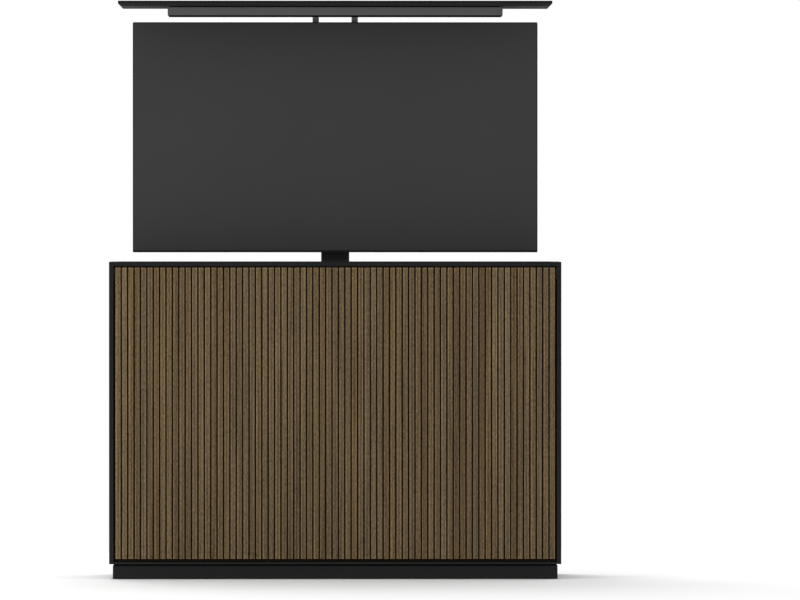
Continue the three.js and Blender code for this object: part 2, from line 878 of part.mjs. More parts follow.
// One stage of the column: a tube with a collar at its upper end
function stageTube(width, depth, [z0, z1], floor, collar = true) {
  const x = about(0, width);
  const y = about(columnY, depth);
  const tube = block(x, y, [z0, z1], tubeCorner);
  const boreTop = collar ? z1 - collarHeight : z1 + overrun;
  const bore = block(grow(x, -tubeWall), grow(y, -tubeWall), [z0 + floor, boreTop], tubeCorner / 2);
  if (!collar) return cut(tube, bore);
  const neck = tubeWall + stageGap - seatGap;
  const mouth = block(grow(x, -neck), grow(y, -neck), [z0 + floor, z1 + overrun]);
  return cut(tube, bore, mouth);
}

// Foot block of a moving stage: it slides in the stage around it and holds the nut
function stageFootBlock(width, depth, bottom) {
  const reach = stageGap - seatGap;
  const x = grow(about(0, width), reach);
  const y = grow(about(columnY, depth), reach);
  return block(x, y, [bottom, bottom + stageFoot], tubeCorner / 2);
}

// Fixed stage of the column, which stands on the gearbox
function columnOuter() {
  const tube = stageTube(outerWidth, outerDepth, [outerBottom, outerTop], tubeWall);
  const hole = bar(
    innerScrewRadius + runningGap,
    [outerBottom - overrun, outerBottom + tubeWall + overrun],
    0,
    columnY,
    boreSides,
  );
  return piece("column_outer", cut(tube, hole), finishes.blackSteel);
}

// Middle stage of the column
function columnMiddle() {
  const tube = stageTube(middleWidth, middleDepth, [middleBottomDown, middleTopDown], stageFoot);
  const nutBore = bar(
    innerScrewRadius + runningGap,
    [middleBottomDown - overrun, middleBottomDown + stageFoot + overrun],
    0,
    columnY,
    boreSides,
  );
  const foot = stageFootBlock(middleWidth, middleDepth, middleBottomDown);
  return piece("column_middle", cut(join(tube, foot), nutBore), finishes.blackSteel);
}

// Inner stage of the column, open at the top under the screen mount
function columnInner() {
  const tube = stageTube(innerWidth, innerDepth, [innerBottomDown, innerTopDown], stageFoot, false);
  const nutBore = bar(
    outerScrewRadius + runningGap,
    [innerBottomDown - overrun, innerBottomDown + stageFoot + overrun],
    0,
    columnY,
    boreSides,
  );
  const foot = stageFootBlock(innerWidth, innerDepth, innerBottomDown);
  return piece("column_inner", cut(join(tube, foot), nutBore), finishes.blackSteel);
}

// Solid screw that turns in the gearbox and lifts the middle stage
function screwInner() {
  const bottom = gearboxTop - bearingDepth;
  const top = outerTop - collarHeight;
  return piece("screw_inner", bar(innerScrewRadius, [bottom, top], 0, columnY), finishes.brightSteel);
}

// Hollow screw on the middle stage's foot; it turns with the solid one and lifts the inner stage
function screwOuter() {
  const bottom = middleBottomDown + stageFoot + seatGap;
  const top = middleTopDown - collarHeight;
  const tube = turned(
    [
      [outerScrewBore, bottom],
      [outerScrewRadius, bottom],
      [outerScrewRadius, top],
      [outerScrewBore, top],
      [outerScrewBore, bottom],
    ],
    0,
    columnY,
  );
  return piece("screw_outer", tube, finishes.brightSteel);
}

// Screen mount: a hook over the column's head, a spine down its front and two crossbars
function tvMountPlate() {
  const hookZ = [innerTopDown + seatGap, innerTopDown + seatGap + hookThickness];
  const spineX = about(0, spineWidth);
  const plateY = [plateFront, plateRear];
  const spine = board(spineX, plateY, [tvMiddleDown - spineReach, hookZ[1]]);
  const hook = board(about(0, innerWidth), [plateFront, columnY + innerDepth / 2], hookZ);
  const bars = crossbarLevels().map((middle) =>
    board(about(0, crossbarWidth), plateY, about(middle, crossbarHeight)),
  );
  return piece("tv_mount_plate", join(spine, hook, ...bars), finishes.blackSteel);
}

// Heights of the two crossbars with the lift down
function crossbarLevels() {
  const reach = spineReach - crossbarHeight;
  return [tvMiddleDown - reach, tvMiddleDown - reach + crossbarSpread];
}

// Upright channel that the screen is bolted to and that hooks over both crossbars
function tvArm(name, sign) {
  const x = about((sign * armSpacing) / 2, armWidth);
  const y = [armFront, plateFront - seatGap];
  const z = about(tvMiddleDown, armLength);
  const hollow = block(grow(x, -armWall), [armFront + armWall, y[1] + overrun], grow(z, overrun));
  const behind = plateRear + seatGap;
  const hooks = crossbarLevels().map((middle) => {
    const top = middle + crossbarHeight / 2 + seatGap;
    const over = block(x, [y[1] - armWall, behind + armHook], [top, top + armHookHeight]);
    const lip = block(x, [behind, behind + armHook], [top - armHookHeight, top + armHookHeight]);
    return join(over, lip);
  });
  return piece(name, join(cut(board(x, y, z), hollow), ...hooks), finishes.blackSteel);
}

// Post behind the screen that carries the lid on its flange and the tray on its front face
function lidPost(name, sign) {
  const x = about((sign * postSpacing) / 2, postWidth);
  const y = [postFront, postFront + postDepth];
  const bottom = tvMiddleDown - spineReach + crossbarHeight;
  const top = frameBottom - seatGap;
  const flangeZ = [top - postFlangeThickness, top];
  const hollow = block(
    grow(x, -postWall),
    grow(y, -postWall),
    [bottom - overrun, flangeZ[0] - postWall],
    postWall / 2,
  );
  const tube = cut(block(x, y, [bottom, flangeZ[0] + postFlangeThickness / 2], postWall), hollow);
  const flange = board(
    about((sign * postSpacing) / 2, postFlangeWidth),
    [postFront, postFront + postFlangeWidth],
    flangeZ,
  );
  return piece(name, join(tube, flange), finishes.greySteel);
}

// Shallow steel tray in front of the posts that stiffens the lid, open towards it, with a set-in rim
function underLidTray() {
  const x = about(0, trayWidth);
  const y = [trayFrontClearance - toeHalfDepth, postFront - seatGap];
  const shoulder = trayTopDown - trayRimHeight;
  const rimX = grow(x, -trayRimInset);
  const rimY = grow(y, -trayRimInset);
  const tray = join(
    board(x, y, [trayBottomDown, shoulder]),
    board(rimX, rimY, [shoulder - trayWall, trayTopDown]),
  );
  const inside = join(
    block(
      grow(x, -trayWall),
      grow(y, -trayWall),
      [trayBottomDown + trayWall, shoulder - trayWall],
    ),
    block(
      grow(rimX, -trayWall),
      grow(rimY, -trayWall),
      [trayBottomDown + trayWall, trayTopDown + overrun],
    ),
  );
  return piece("under_lid_tray", cut(tray, inside), finishes.greySteel);
}

// Lid that drops flush into the top frame, its lower edges chamfered to match the seat
function lid() {
  const foot = [lidHalfWidth - lidChamfer, lidHalfDepth - lidChamfer];
  const rings = [
    ring([-foot[0], foot[0]], [-foot[1], foot[1]], frameBottom),
    ring(
      [-lidHalfWidth, lidHalfWidth],
      [-lidHalfDepth, lidHalfDepth],
      frameBottom + lidChamfer,
    ),
    ring(
      [-lidHalfWidth, lidHalfWidth],
      [-lidHalfDepth, lidHalfDepth],
      cabinetHeight - edgeChamfer,
    ),
    ring(
      grow([-lidHalfWidth, lidHalfWidth], -edgeChamfer),
      grow([-lidHalfDepth, lidHalfDepth], -edgeChamfer),
      cabinetHeight,
    ),
  ];
  return piece("lid", solidOf(loft(rings)), finishes.blackLacquer);
}

// Lofts rings of [x span, z span, y, corner] from the back towards the front
function loftTowardsFront(levels) {
  const rings = levels.map(([x, [z0, z1], y, corner = 0]) => ring(x, [z0, z1], -y, corner));
  return solidOf(loft(rings).rotateX(Math.PI / 2));
}

// Screen housing: a thin rim round the picture and a thicker back over the electronics
function tvHousing() {
  const x = about(0, tvWidth);
  const z = [tvBottomDown, tvTopDown];
  const rimRear = tvFront + tvRimDepth;
  const backX = about(0, tvBackWidth);
  const backZ = [tvBottomDown + tvBackFoot, tvBottomDown + tvBackFoot + tvBackHeight];
  const rim = loftTowardsFront([
    [grow(x, -tvLedge), grow(z, -tvLedge), rimRear, tvLedge],
    [x, z, rimRear - tvLedge, tvLedge / 2],
    [x, z, tvFront, tvLedge / 2],
  ]);
  const bulge = loftTowardsFront([
    [grow(backX, -tvBackSlope), grow(backZ, -tvBackSlope), tvRear, tvBackSlope / 2],
    [backX, backZ, rimRear - tvShell / 2, tvBackSlope],
  ]);
  const floor = tvFront + tvScreenRecess + tvScreenThickness + seatGap;
  const insideX = grow(x, -tvChin - tvSideBezel);
  const insideZ = grow(z, -tvChin - tvSideBezel);
  const hollow = join(
    block(insideX, [floor - weldBite, rimRear - tvShell], insideZ),
    loftTowardsFront([
      [
        grow(backX, -tvBackSlope - tvShell),
        grow(backZ, -tvBackSlope - tvShell),
        tvRear - tvShell,
        tvBackSlope / 2,
      ],
      [grow(backX, -tvShell), grow(backZ, -tvShell), rimRear - tvShell - weldBite, tvBackSlope],
    ]),
  );
  const recess = block(
    grow(x, -tvSideBezel),
    [tvFront - overrun, floor],
    [z[0] + tvChin, z[1] - tvSideBezel],
  );
  return piece("tv_housing", cut(join(rim, bulge), hollow, recess), finishes.blackPlastic);
}

// Glass of the screen, set in the housing's rim
function tvScreen() {
  const x = grow(about(0, tvWidth), -tvSideBezel - seatGap);
  const y = [tvFront + tvScreenRecess, tvFront + tvScreenRecess + tvScreenThickness];
  const z = [tvBottomDown + tvChin + seatGap, tvTopDown - tvSideBezel - seatGap];
  return piece("tv_screen", board(x, y, z, edgeChamfer / 2), finishes.screenGlass);
}

// What stands still: body, plinth, feet, storage, back, base of the lift
const cabinet = new THREE.Group();
cabinet.add(sidePanel("side_panel_left", -1), sidePanel("side_panel_right", 1), bottomPanel());
cabinet.add(endRail("top_rail_front", -1), endRail("top_rail_rear", 1));
cabinet.add(sideRail("top_rail_left", -1), sideRail("top_rail_right", 1));
cabinet.add(...plinth());
for (const [end, signY] of [["front", -1], ["rear", 1]]) {
  for (const [side, signX] of [["left", -1], ["right", 1]]) {
    cabinet.add(foot("foot_" + end + "_" + side, signX, signY));
  }
}
cabinet.add(partition("partition_left", -1), partition("partition_right", 1));
cabinet.add(dividerPanel(), storageDeck(), ...shelves());
cabinet.add(backPanel("back_panel_left", -1, inletHole()), backPanel("back_panel_right", 1, grommetHole()));
cabinet.add(rearMullion(), powerInlet(), cableGrommet());
cabinet.add(liftBasePlate(), gearboxHousing(), driveMotor(), controlBox(), columnOuter(), screwInner());
for (const door of doors) {
  cabinet.add(slattedDoor(door), ...pivots(door), ...touchLatch(door));
}

// Middle stage, drawn lowered and raised here by half the travel
const middleStage = new THREE.Group();
middleStage.position.z = stageTravel;
middleStage.add(columnMiddle(), screwOuter());

// What rises all the way, drawn lowered and raised here by the whole travel
const liftHead = new THREE.Group();
liftHead.position.z = liftTravel;
liftHead.add(columnInner(), tvMountPlate(), tvArm("tv_arm_left", -1), tvArm("tv_arm_right", 1));
liftHead.add(lidPost("lid_post_left", -1), lidPost("lid_post_right", 1));
liftHead.add(tvHousing(), tvScreen(), underLidTray(), lid());

const tvLiftCabinet = new THREE.Group();
tvLiftCabinet.add(cabinet, middleStage, liftHead);

export default tvLiftCabinet;
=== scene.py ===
# TV lift cabinet: a black cabinet with three slatted oak doors. Its lid and its screen stand raised on a
# telescopic column.
import math

import bmesh
import bpy
from mathutils import Matrix, Vector


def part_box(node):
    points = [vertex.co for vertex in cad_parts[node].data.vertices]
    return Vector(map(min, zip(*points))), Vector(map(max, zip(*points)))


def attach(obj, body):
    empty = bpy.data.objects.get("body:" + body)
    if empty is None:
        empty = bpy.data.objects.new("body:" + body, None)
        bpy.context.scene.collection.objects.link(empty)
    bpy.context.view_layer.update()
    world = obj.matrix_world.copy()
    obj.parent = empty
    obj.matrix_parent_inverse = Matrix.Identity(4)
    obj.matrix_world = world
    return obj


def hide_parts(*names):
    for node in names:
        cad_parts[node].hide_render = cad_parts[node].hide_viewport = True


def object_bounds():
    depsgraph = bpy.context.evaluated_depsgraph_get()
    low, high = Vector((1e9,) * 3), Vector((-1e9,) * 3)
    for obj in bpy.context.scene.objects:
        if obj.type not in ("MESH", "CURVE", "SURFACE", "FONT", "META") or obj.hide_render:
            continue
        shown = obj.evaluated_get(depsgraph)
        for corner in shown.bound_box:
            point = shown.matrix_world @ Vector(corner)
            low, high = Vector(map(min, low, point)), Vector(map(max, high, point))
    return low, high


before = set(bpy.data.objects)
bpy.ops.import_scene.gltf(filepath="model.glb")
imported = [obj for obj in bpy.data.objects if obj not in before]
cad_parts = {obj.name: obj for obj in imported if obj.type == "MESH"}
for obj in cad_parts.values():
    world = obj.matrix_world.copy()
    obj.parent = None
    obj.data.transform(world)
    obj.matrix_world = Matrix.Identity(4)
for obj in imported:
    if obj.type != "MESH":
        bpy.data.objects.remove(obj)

solid_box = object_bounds()


# Camera. The picture is a straight front view through a very long lens, from a little above the middle of
# the raised object. The cabinet stands left of the picture's middle.
front_plane = solid_box[0].y
picture_span = 2.8645
camera_distance = 28.0
camera_height = 1.251
picture_middle = Vector((0.2320, front_plane, 1.0004))

lens = bpy.data.cameras.new("front_camera")
lens.lens = lens.sensor_width * camera_distance / picture_span
lens.clip_end = 10 * camera_distance
camera = bpy.data.objects.new("front_camera", lens)
camera.location = (0, front_plane - camera_distance, camera_height)
camera.rotation_euler = (picture_middle - camera.location).to_track_quat("-Z", "Y").to_euler()
bpy.context.scene.collection.objects.link(camera)
bpy.context.scene.camera = camera
bpy.context.scene.view_settings.view_transform = "Standard"


# Room. A seamless white floor under a white sky, with the darker half of the room behind the camera. The
# camera sees plain white all round, and the floor keeps the soft shadow of the cabinet.
floor_reach = 60.0
floor_drop = 0.0004
floor_white = (0.90, 0.90, 0.90, 1)
near_floor = 1.5
far_floor = 3.4
room_light = 0.93
dark_half = 0.05
darkest_way = -0.55
lightest_way = 0.25
plain_white = (1, 1, 1, 1)


def fill(tree, socket, value):
    """Feeds a socket from another socket, or sets its value."""
    if isinstance(value, bpy.types.NodeSocket):
        tree.links.new(value, socket)
    else:
        socket.default_value = value


def add_node(tree, kind, inputs=None, **settings):
    """Adds a shader node with its settings, and feeds or sets its inputs."""
    made = tree.nodes.new("ShaderNode" + kind)
    for key, value in settings.items():
        setattr(made, key, value)
    for key, value in (inputs or {}).items():
        fill(tree, made.inputs[key], value)
    return made


def calculate(tree, operation, first, second=0.0):
    """The result of a calculation with one or two values."""
    step = add_node(tree, "Math", {0: first, 1: second}, operation=operation)
    return step.outputs[0]


def remap(tree, value, low, high, new_low, new_high, curve="LINEAR"):
    """A value carried over from one range to another, and held inside it."""
    step = add_node(tree, "MapRange", {"Value": value}, interpolation_type=curve)
    limits = {"From Min": low, "From Max": high, "To Min": new_low, "To Max": new_high}
    for key, limit in limits.items():
        fill(tree, step.inputs[key], limit)
    return step.outputs["Result"]


def mesh_piece(name, vertices, faces):
    """A new object made of these vertices and faces."""
    mesh = bpy.data.meshes.new(name)
    mesh.from_pydata(vertices, [], faces)
    mesh.update()
    made = bpy.data.objects.new(name, mesh)
    bpy.context.scene.collection.objects.link(made)
    return made


sky = bpy.data.worlds.new("white_room")
bpy.context.scene.world = sky
sky.use_nodes = True
sky_tree = sky.node_tree
sky_rays = add_node(sky_tree, "LightPath")
sky_way = add_node(sky_tree, "SeparateXYZ", {0: add_node(sky_tree, "TexCoord").outputs["Generated"]})
sky_mirror = calculate(
    sky_tree, "MAXIMUM", sky_rays.outputs["Is Glossy Ray"], sky_rays.outputs["Is Transmission Ray"]
)
sky_shade = remap(
    sky_tree, sky_way.outputs["Y"], darkest_way, lightest_way, dark_half, 1.0, "SMOOTHSTEP"
)
sky_direct = calculate(sky_tree, "SUBTRACT", 1.0, sky_mirror)
sky_plain = calculate(sky_tree, "MULTIPLY", room_light, sky_direct)
sky_seen = calculate(sky_tree, "MULTIPLY", sky_shade, sky_mirror)
sky_level = calculate(sky_tree, "ADD", sky_plain, sky_seen)
sky_final = calculate(sky_tree, "MAXIMUM", sky_level, sky_rays.outputs["Is Camera Ray"])
fill(sky_tree, sky_tree.nodes["Background"].inputs["Strength"], sky_final)
sky_tree.nodes["Background"].inputs["Color"].default_value = plain_white

floor_corners = [
    (x * floor_reach, y * floor_reach, -floor_drop) for x, y in ((-1, -1), (1, -1), (1, 1), (-1, 1))
]
floor = mesh_piece("floor", floor_corners, [(0, 1, 2, 3)])
floor_paint = bpy.data.materials.new("white_floor")
floor_paint.use_nodes = True
floor_tree = floor_paint.node_tree
floor_tree.nodes.remove(floor_tree.nodes["Principled BSDF"])
floor_rays = add_node(floor_tree, "LightPath")
floor_mirror = calculate(
    floor_tree, "MAXIMUM", floor_rays.outputs["Is Glossy Ray"], floor_rays.outputs["Is Transmission Ray"]
)
floor_place = add_node(floor_tree, "NewGeometry").outputs["Position"]
floor_axes = add_node(floor_tree, "SeparateXYZ", {0: floor_place})
floor_distance = add_node(floor_tree, "VectorMath", {0: floor_place}, operation="LENGTH").outputs["Value"]
floor_dark = remap(
    floor_tree, floor_axes.outputs["Y"], -far_floor, -near_floor, dark_half, 1.0, "SMOOTHSTEP"
)
floor_mirrored = calculate(floor_tree, "MULTIPLY", floor_mirror, floor_dark)
floor_level = calculate(floor_tree, "MAXIMUM", floor_rays.outputs["Is Camera Ray"], floor_mirrored)
floor_far = remap(floor_tree, floor_distance, near_floor, far_floor, 0.0, 1.0, "SMOOTHSTEP")
floor_matt = add_node(floor_tree, "BsdfDiffuse", {"Color": floor_white})
floor_plain = add_node(floor_tree, "Emission", {"Color": plain_white, "Strength": floor_level})
floor_seen = calculate(floor_tree, "MAXIMUM", floor_rays.outputs["Is Camera Ray"], floor_mirror)
floor_share = calculate(floor_tree, "MULTIPLY", floor_far, floor_seen)
floor_both = add_node(
    floor_tree, "MixShader", {0: floor_share, 1: floor_matt.outputs[0], 2: floor_plain.outputs[0]}
)
fill(floor_tree, floor_tree.nodes["Material Output"].inputs["Surface"], floor_both.outputs[0])
floor.data.materials.append(floor_paint)


# Lamps. The white room gives most of the light. A large soft box on the left makes the left side a little
# lighter, and one overhead and a little behind throws the soft shadow in front of the plinth.

# Each box: its name, its place, where it points, its size and its power in watts
soft_boxes = (
    ("left_box", (-7.2, -4.8, 1.9), (0, 0, 1.0), 2.4, 200),
    ("top_box", (-0.9, 2.4, 6.2), (0, 0, 0.4), 3.0, 165),
)
for name, place, target, size, power in soft_boxes:
    lamp = bpy.data.lights.new(name, "AREA")
    lamp.shape = "SQUARE"
    lamp.size = size
    lamp.energy = power
    box = bpy.data.objects.new(name, lamp)
    box.location = place
    box.rotation_euler = (Vector(target) - box.location).to_track_quat("-Z", "Y").to_euler()
    box.visible_camera = False
    bpy.context.scene.collection.objects.link(box)


# Black body. Side boards, bottom board and top frame are cut from fibreboard, glued, sprayed with a matt
# black lacquer and rubbed down, so they show faint clouds and a fine orange-peel skin.
lacquer_black = (0.0120, 0.0126, 0.0128, 1)
lacquer_peel = 420.0
lacquer_cloud = 0.2
lacquer_rough = (0.44, 0.50)
lacquer_skin = 0.00004
cloud_scale = 2.6
rubbed_scale = 24.0
dust_pale = (0.45, 0.43, 0.40, 1)
dust_slope = (0.6, 0.95)
dust_scale = 14.0
dust_patches = (0.35, 0.7)
dust_thinnest = 0.2
body_dust = 0.01
# The values that a noise mostly stays between
usual_noise = (0.3, 0.7)


def new_finish(name, specular=0.5, metallic=0.0):
    """A new material, its node tree and its main shader."""
    finish = bpy.data.materials.new(name)
    finish.use_nodes = True
    shader = finish.node_tree.nodes["Principled BSDF"]
    shader.inputs["Specular IOR Level"].default_value = specular
    shader.inputs["Metallic"].default_value = metallic
    return finish, finish.node_tree, shader


def new_effect(name, inputs, outputs):
    """An empty node group with named sockets, and its first and last node."""
    effect = bpy.data.node_groups.new(name, "ShaderNodeTree")
    for title, kind, value in inputs:
        socket = effect.interface.new_socket(title, in_out="INPUT", socket_type="NodeSocket" + kind)
        socket.default_value = value
    for title, kind in outputs:
        effect.interface.new_socket(title, in_out="OUTPUT", socket_type="NodeSocket" + kind)
    return effect, effect.nodes.new("NodeGroupInput"), effect.nodes.new("NodeGroupOutput")


def place_effect(tree, effect, **inputs):
    """Places a node group in a material and feeds its inputs."""
    made = tree.nodes.new("ShaderNodeGroup")
    made.node_tree = effect
    for key, value in inputs.items():
        fill(tree, made.inputs[key.replace("_", " ")], value)
    return made


def own_place(tree):
    """The point of the surface in the piece's own coordinates, which move with the piece."""
    return add_node(tree, "TexCoord").outputs["Object"]


def noise(tree, place, scale, detail=2.0, roughness=0.5):
    """Soft random value from 0 to 1."""
    settings = {"Vector": place, "Scale": scale, "Detail": detail, "Roughness": roughness}
    return add_node(tree, "TexNoise", settings).outputs["Fac"]


def mix_colour(tree, share, first, second):
    """Two colours mixed: the share is that of the second."""
    mixer = add_node(tree, "Mix", data_type="RGBA")
    for index, value in ((0, share), (6, first), (7, second)):
        fill(tree, mixer.inputs[index], value)
    return mixer.outputs[2]


def tint(tree, colour, value):
    """A colour made lighter or darker by a value around 1."""
    return add_node(tree, "HueSaturation", {"Color": colour, "Value": value}).outputs["Color"]


def relief(tree, shader, height, distance, strength=1.0):
    """Gives the surface this fine relief."""
    bump = add_node(tree, "Bump", {"Height": height, "Distance": distance, "Strength": strength})
    fill(tree, shader.inputs["Normal"], bump.outputs["Normal"])


def coat_nodes(names, finish):
    """Gives solids of the frame their finish."""
    for name in names:
        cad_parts[name].material_slots[0].material = finish


# Sprayed skin: the uneven film of a sprayed lacquer or a baked powder coat
sprayed_skin, skin_in, skin_out = new_effect(
    "sprayed_skin",
    [
        ("Place", "Vector", (0, 0, 0)),
        ("Colour", "Color", lacquer_black),
        ("Peel Scale", "Float", lacquer_peel),
        ("Clouding", "Float", lacquer_cloud),
        ("Lowest Roughness", "Float", lacquer_rough[0]),
        ("Highest Roughness", "Float", lacquer_rough[1]),
    ],
    [("Colour", "Color"), ("Roughness", "Float"), ("Height", "Float")],
)
skin_cloud = noise(sprayed_skin, skin_in.outputs["Place"], cloud_scale, detail=4.0, roughness=0.6)
skin_drift = calculate(sprayed_skin, "SUBTRACT", skin_cloud, 0.5)
skin_clouds = calculate(sprayed_skin, "MULTIPLY", skin_drift, skin_in.outputs["Clouding"])
skin_value = calculate(sprayed_skin, "ADD", skin_clouds, 1.0)
skin_rubbed = noise(sprayed_skin, skin_in.outputs["Place"], rubbed_scale, detail=5.0, roughness=0.65)
skin_rough = remap(
    sprayed_skin,
    skin_rubbed,
    *usual_noise,
    skin_in.outputs["Lowest Roughness"],
    skin_in.outputs["Highest Roughness"],
)
fill(sprayed_skin, skin_out.inputs["Colour"], tint(sprayed_skin, skin_in.outputs["Colour"], skin_value))
fill(sprayed_skin, skin_out.inputs["Roughness"], skin_rough)
skin_peel = noise(sprayed_skin, skin_in.outputs["Place"], skin_in.outputs["Peel Scale"], detail=1.5)
fill(sprayed_skin, skin_out.inputs["Height"], skin_peel)

# Settled dust: a faint pale film on what faces up
settled_dust, dust_in, dust_out = new_effect(
    "settled_dust",
    [("Place", "Vector", (0, 0, 0)), ("Colour", "Color", lacquer_black), ("Amount", "Float", body_dust)],
    [("Colour", "Color")],
)
dust_normal = add_node(settled_dust, "NewGeometry").outputs["Normal"]
dust_up = add_node(settled_dust, "SeparateXYZ", {0: dust_normal})
dust_flat = remap(settled_dust, dust_up.outputs["Z"], *dust_slope, 0.0, 1.0)
dust_noise = noise(settled_dust, dust_in.outputs["Place"], dust_scale, detail=6.0, roughness=0.7)
dust_patch = remap(settled_dust, dust_noise, *dust_patches, dust_thinnest, 1.0)
dust_cover = calculate(settled_dust, "MULTIPLY", dust_flat, dust_patch)
dust_share = calculate(settled_dust, "MULTIPLY", dust_cover, dust_in.outputs["Amount"])
dust_colour = mix_colour(settled_dust, dust_share, dust_in.outputs["Colour"], dust_pale)
fill(settled_dust, dust_out.inputs["Colour"], dust_colour)


def sprayed_finish(name, colour, peel, clouding, roughness, depth, specular=0.2):
    """A sprayed or powder-coated material."""
    finish, tree, shader = new_finish(name, specular)
    place = own_place(tree)
    skin = place_effect(
        tree,
        sprayed_skin,
        Place=place,
        Colour=colour,
        Peel_Scale=peel,
        Clouding=clouding,
        Lowest_Roughness=roughness[0],
        Highest_Roughness=roughness[1],
    )
    dusted = place_effect(
        tree, settled_dust, Place=place, Colour=skin.outputs["Colour"], Amount=body_dust
    )
    fill(tree, shader.inputs["Base Color"], dusted.outputs["Colour"])
    fill(tree, shader.inputs["Roughness"], skin.outputs["Roughness"])
    relief(tree, shader, skin.outputs["Height"], depth)
    return finish


def lacquer(name):
    """The matt black lacquer of the body."""
    return sprayed_finish(name, lacquer_black, lacquer_peel, lacquer_cloud, lacquer_rough, lacquer_skin)


black_lacquer = lacquer("black_lacquer")
coat_nodes(["side_panel_left", "side_panel_right", "bottom_panel"], black_lacquer)
coat_nodes(["top_rail_" + side for side in ("front", "rear", "left", "right")], black_lacquer)


# Plinth. Four boards of the same lacquered fibreboard under the body. The rebate along their upper edge
# is painted dead black as painted shade in the gap under the body, so that the body seems to float over
# them.
rebate_height = 0.0061
# Painted shade: the dead black of the rebate stands for the shadow in the gap under the body
rebate_shade_black = (0.0012, 0.0012, 0.0012, 1)
paint_edge = 0.0001


def paint_over(finish, mask, colour, dull=False):
    """Paints what the mask shows in another colour, and makes it dead matt where that is asked."""
    tree = finish.node_tree
    shader = tree.nodes["Principled BSDF"]
    ground = shader.inputs["Base Color"].links[0].from_socket
    fill(tree, shader.inputs["Base Color"], mix_colour(tree, mask, ground, colour))
    if dull:
        sheen = shader.inputs["Roughness"].links[0].from_socket
        fill(tree, shader.inputs["Roughness"], calculate(tree, "MAXIMUM", sheen, mask))


# Above a level: 1 above that height of the piece, 0 below it, with a narrow soft edge
above_level, level_in, level_out = new_effect(
    "above_level",
    [("Place", "Vector", (0, 0, 0)), ("Level", "Float", 0.0), ("Soft Edge", "Float", paint_edge)],
    [("Mask", "Float")],
)
level_axes = add_node(above_level, "SeparateXYZ", {0: level_in.outputs["Place"]})
level_from = calculate(above_level, "SUBTRACT", level_in.outputs["Level"], level_in.outputs["Soft Edge"])
level_mask = remap(above_level, level_axes.outputs["Z"], level_from, level_in.outputs["Level"], 0.0, 1.0)
fill(above_level, level_out.inputs["Mask"], level_mask)


def above(tree, level, soft_edge):
    """The mask of what lies above this level of the piece."""
    mask = place_effect(tree, above_level, Place=own_place(tree), Level=level, Soft_Edge=soft_edge)
    return mask.outputs["Mask"]


plinth_lacquer_and_shade = lacquer("plinth_lacquer_and_shade")
rebate_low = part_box("plinth_front")[1].z - rebate_height
# Painted shade: the rebate along the top of the plinth boards is painted dead black and matt
rebate_shade = above(plinth_lacquer_and_shade.node_tree, rebate_low, paint_edge)
paint_over(plinth_lacquer_and_shade, rebate_shade, rebate_shade_black, dull=True)
coat_nodes(["plinth_" + side for side in ("front", "rear", "left", "right")], plinth_lacquer_and_shade)


# Lid. The same lacquered board, chamfered to drop into the top frame. Its underside only has the
# grey-black primer.
primer_black = (0.041, 0.041, 0.042, 1)
straight_down = (-0.95, -0.90)


def facing_down(tree):
    """1 where the surface looks straight down, 0 elsewhere."""
    ways = add_node(tree, "SeparateXYZ", {0: add_node(tree, "NewGeometry").outputs["Normal"]})
    return remap(tree, ways.outputs["Z"], *straight_down, 1.0, 0.0)


lid_lacquer = lacquer("lid_lacquer")
paint_over(lid_lacquer, facing_down(lid_lacquer.node_tree), primer_black, dull=True)
coat_nodes(["lid"], lid_lacquer)


# Inside boards and back. Partitions, divider, deck, shelves and back panels are chipboard with a black
# melamine face pressed with a fine leathery grain, and are glued and screwed between the lacquered boards.
melamine_black = (0.0150, 0.0150, 0.0154, 1)
melamine_grain = 620.0
melamine_rough = (0.5, 0.62)
pebble_span = (0.4, 1.4)
pebble_value = (1.14, 0.84)
handled_scale = 6.0
bays = ("left", "center", "right")

# Pressed grain: the small pebbles of a melamine face or a moulded plastic
pressed_grain, grain_in, grain_out = new_effect(
    "pressed_grain",
    [
        ("Place", "Vector", (0, 0, 0)),
        ("Scale", "Float", melamine_grain),
        ("Colour", "Color", melamine_black),
        ("Lowest Roughness", "Float", melamine_rough[0]),
        ("Highest Roughness", "Float", melamine_rough[1]),
    ],
    [("Colour", "Color"), ("Roughness", "Float"), ("Height", "Float")],
)
grain_cell = add_node(
    pressed_grain,
    "TexVoronoi",
    {"Vector": grain_in.outputs["Place"], "Scale": grain_in.outputs["Scale"]},
    feature="SMOOTH_F1",
)
grain_fine = noise(pressed_grain, grain_in.outputs["Place"], grain_in.outputs["Scale"], detail=3.0)
grain_height = calculate(pressed_grain, "ADD", grain_cell.outputs["Distance"], grain_fine)
grain_value = remap(pressed_grain, grain_height, *pebble_span, *pebble_value)
grain_colour = tint(pressed_grain, grain_in.outputs["Colour"], grain_value)
grain_handled = noise(pressed_grain, grain_in.outputs["Place"], handled_scale, detail=4.0)
grain_rough = remap(
    pressed_grain,
    grain_handled,
    *usual_noise,
    grain_in.outputs["Lowest Roughness"],
    grain_in.outputs["Highest Roughness"],
)
fill(pressed_grain, grain_out.inputs["Colour"], grain_colour)
fill(pressed_grain, grain_out.inputs["Roughness"], grain_rough)
fill(pressed_grain, grain_out.inputs["Height"], grain_height)


def pressed_finish(name, colour, scale, roughness, depth, dust):
    """A melamine face or a moulded plastic."""
    finish, tree, shader = new_finish(name, specular=0.3)
    place = own_place(tree)
    grain = place_effect(
        tree,
        pressed_grain,
        Place=place,
        Scale=scale,
        Colour=colour,
        Lowest_Roughness=roughness[0],
        Highest_Roughness=roughness[1],
    )
    dusted = place_effect(tree, settled_dust, Place=place, Colour=grain.outputs["Colour"], Amount=dust)
    fill(tree, shader.inputs["Base Color"], dusted.outputs["Colour"])
    fill(tree, shader.inputs["Roughness"], grain.outputs["Roughness"])
    relief(tree, shader, grain.outputs["Height"], depth)
    return finish


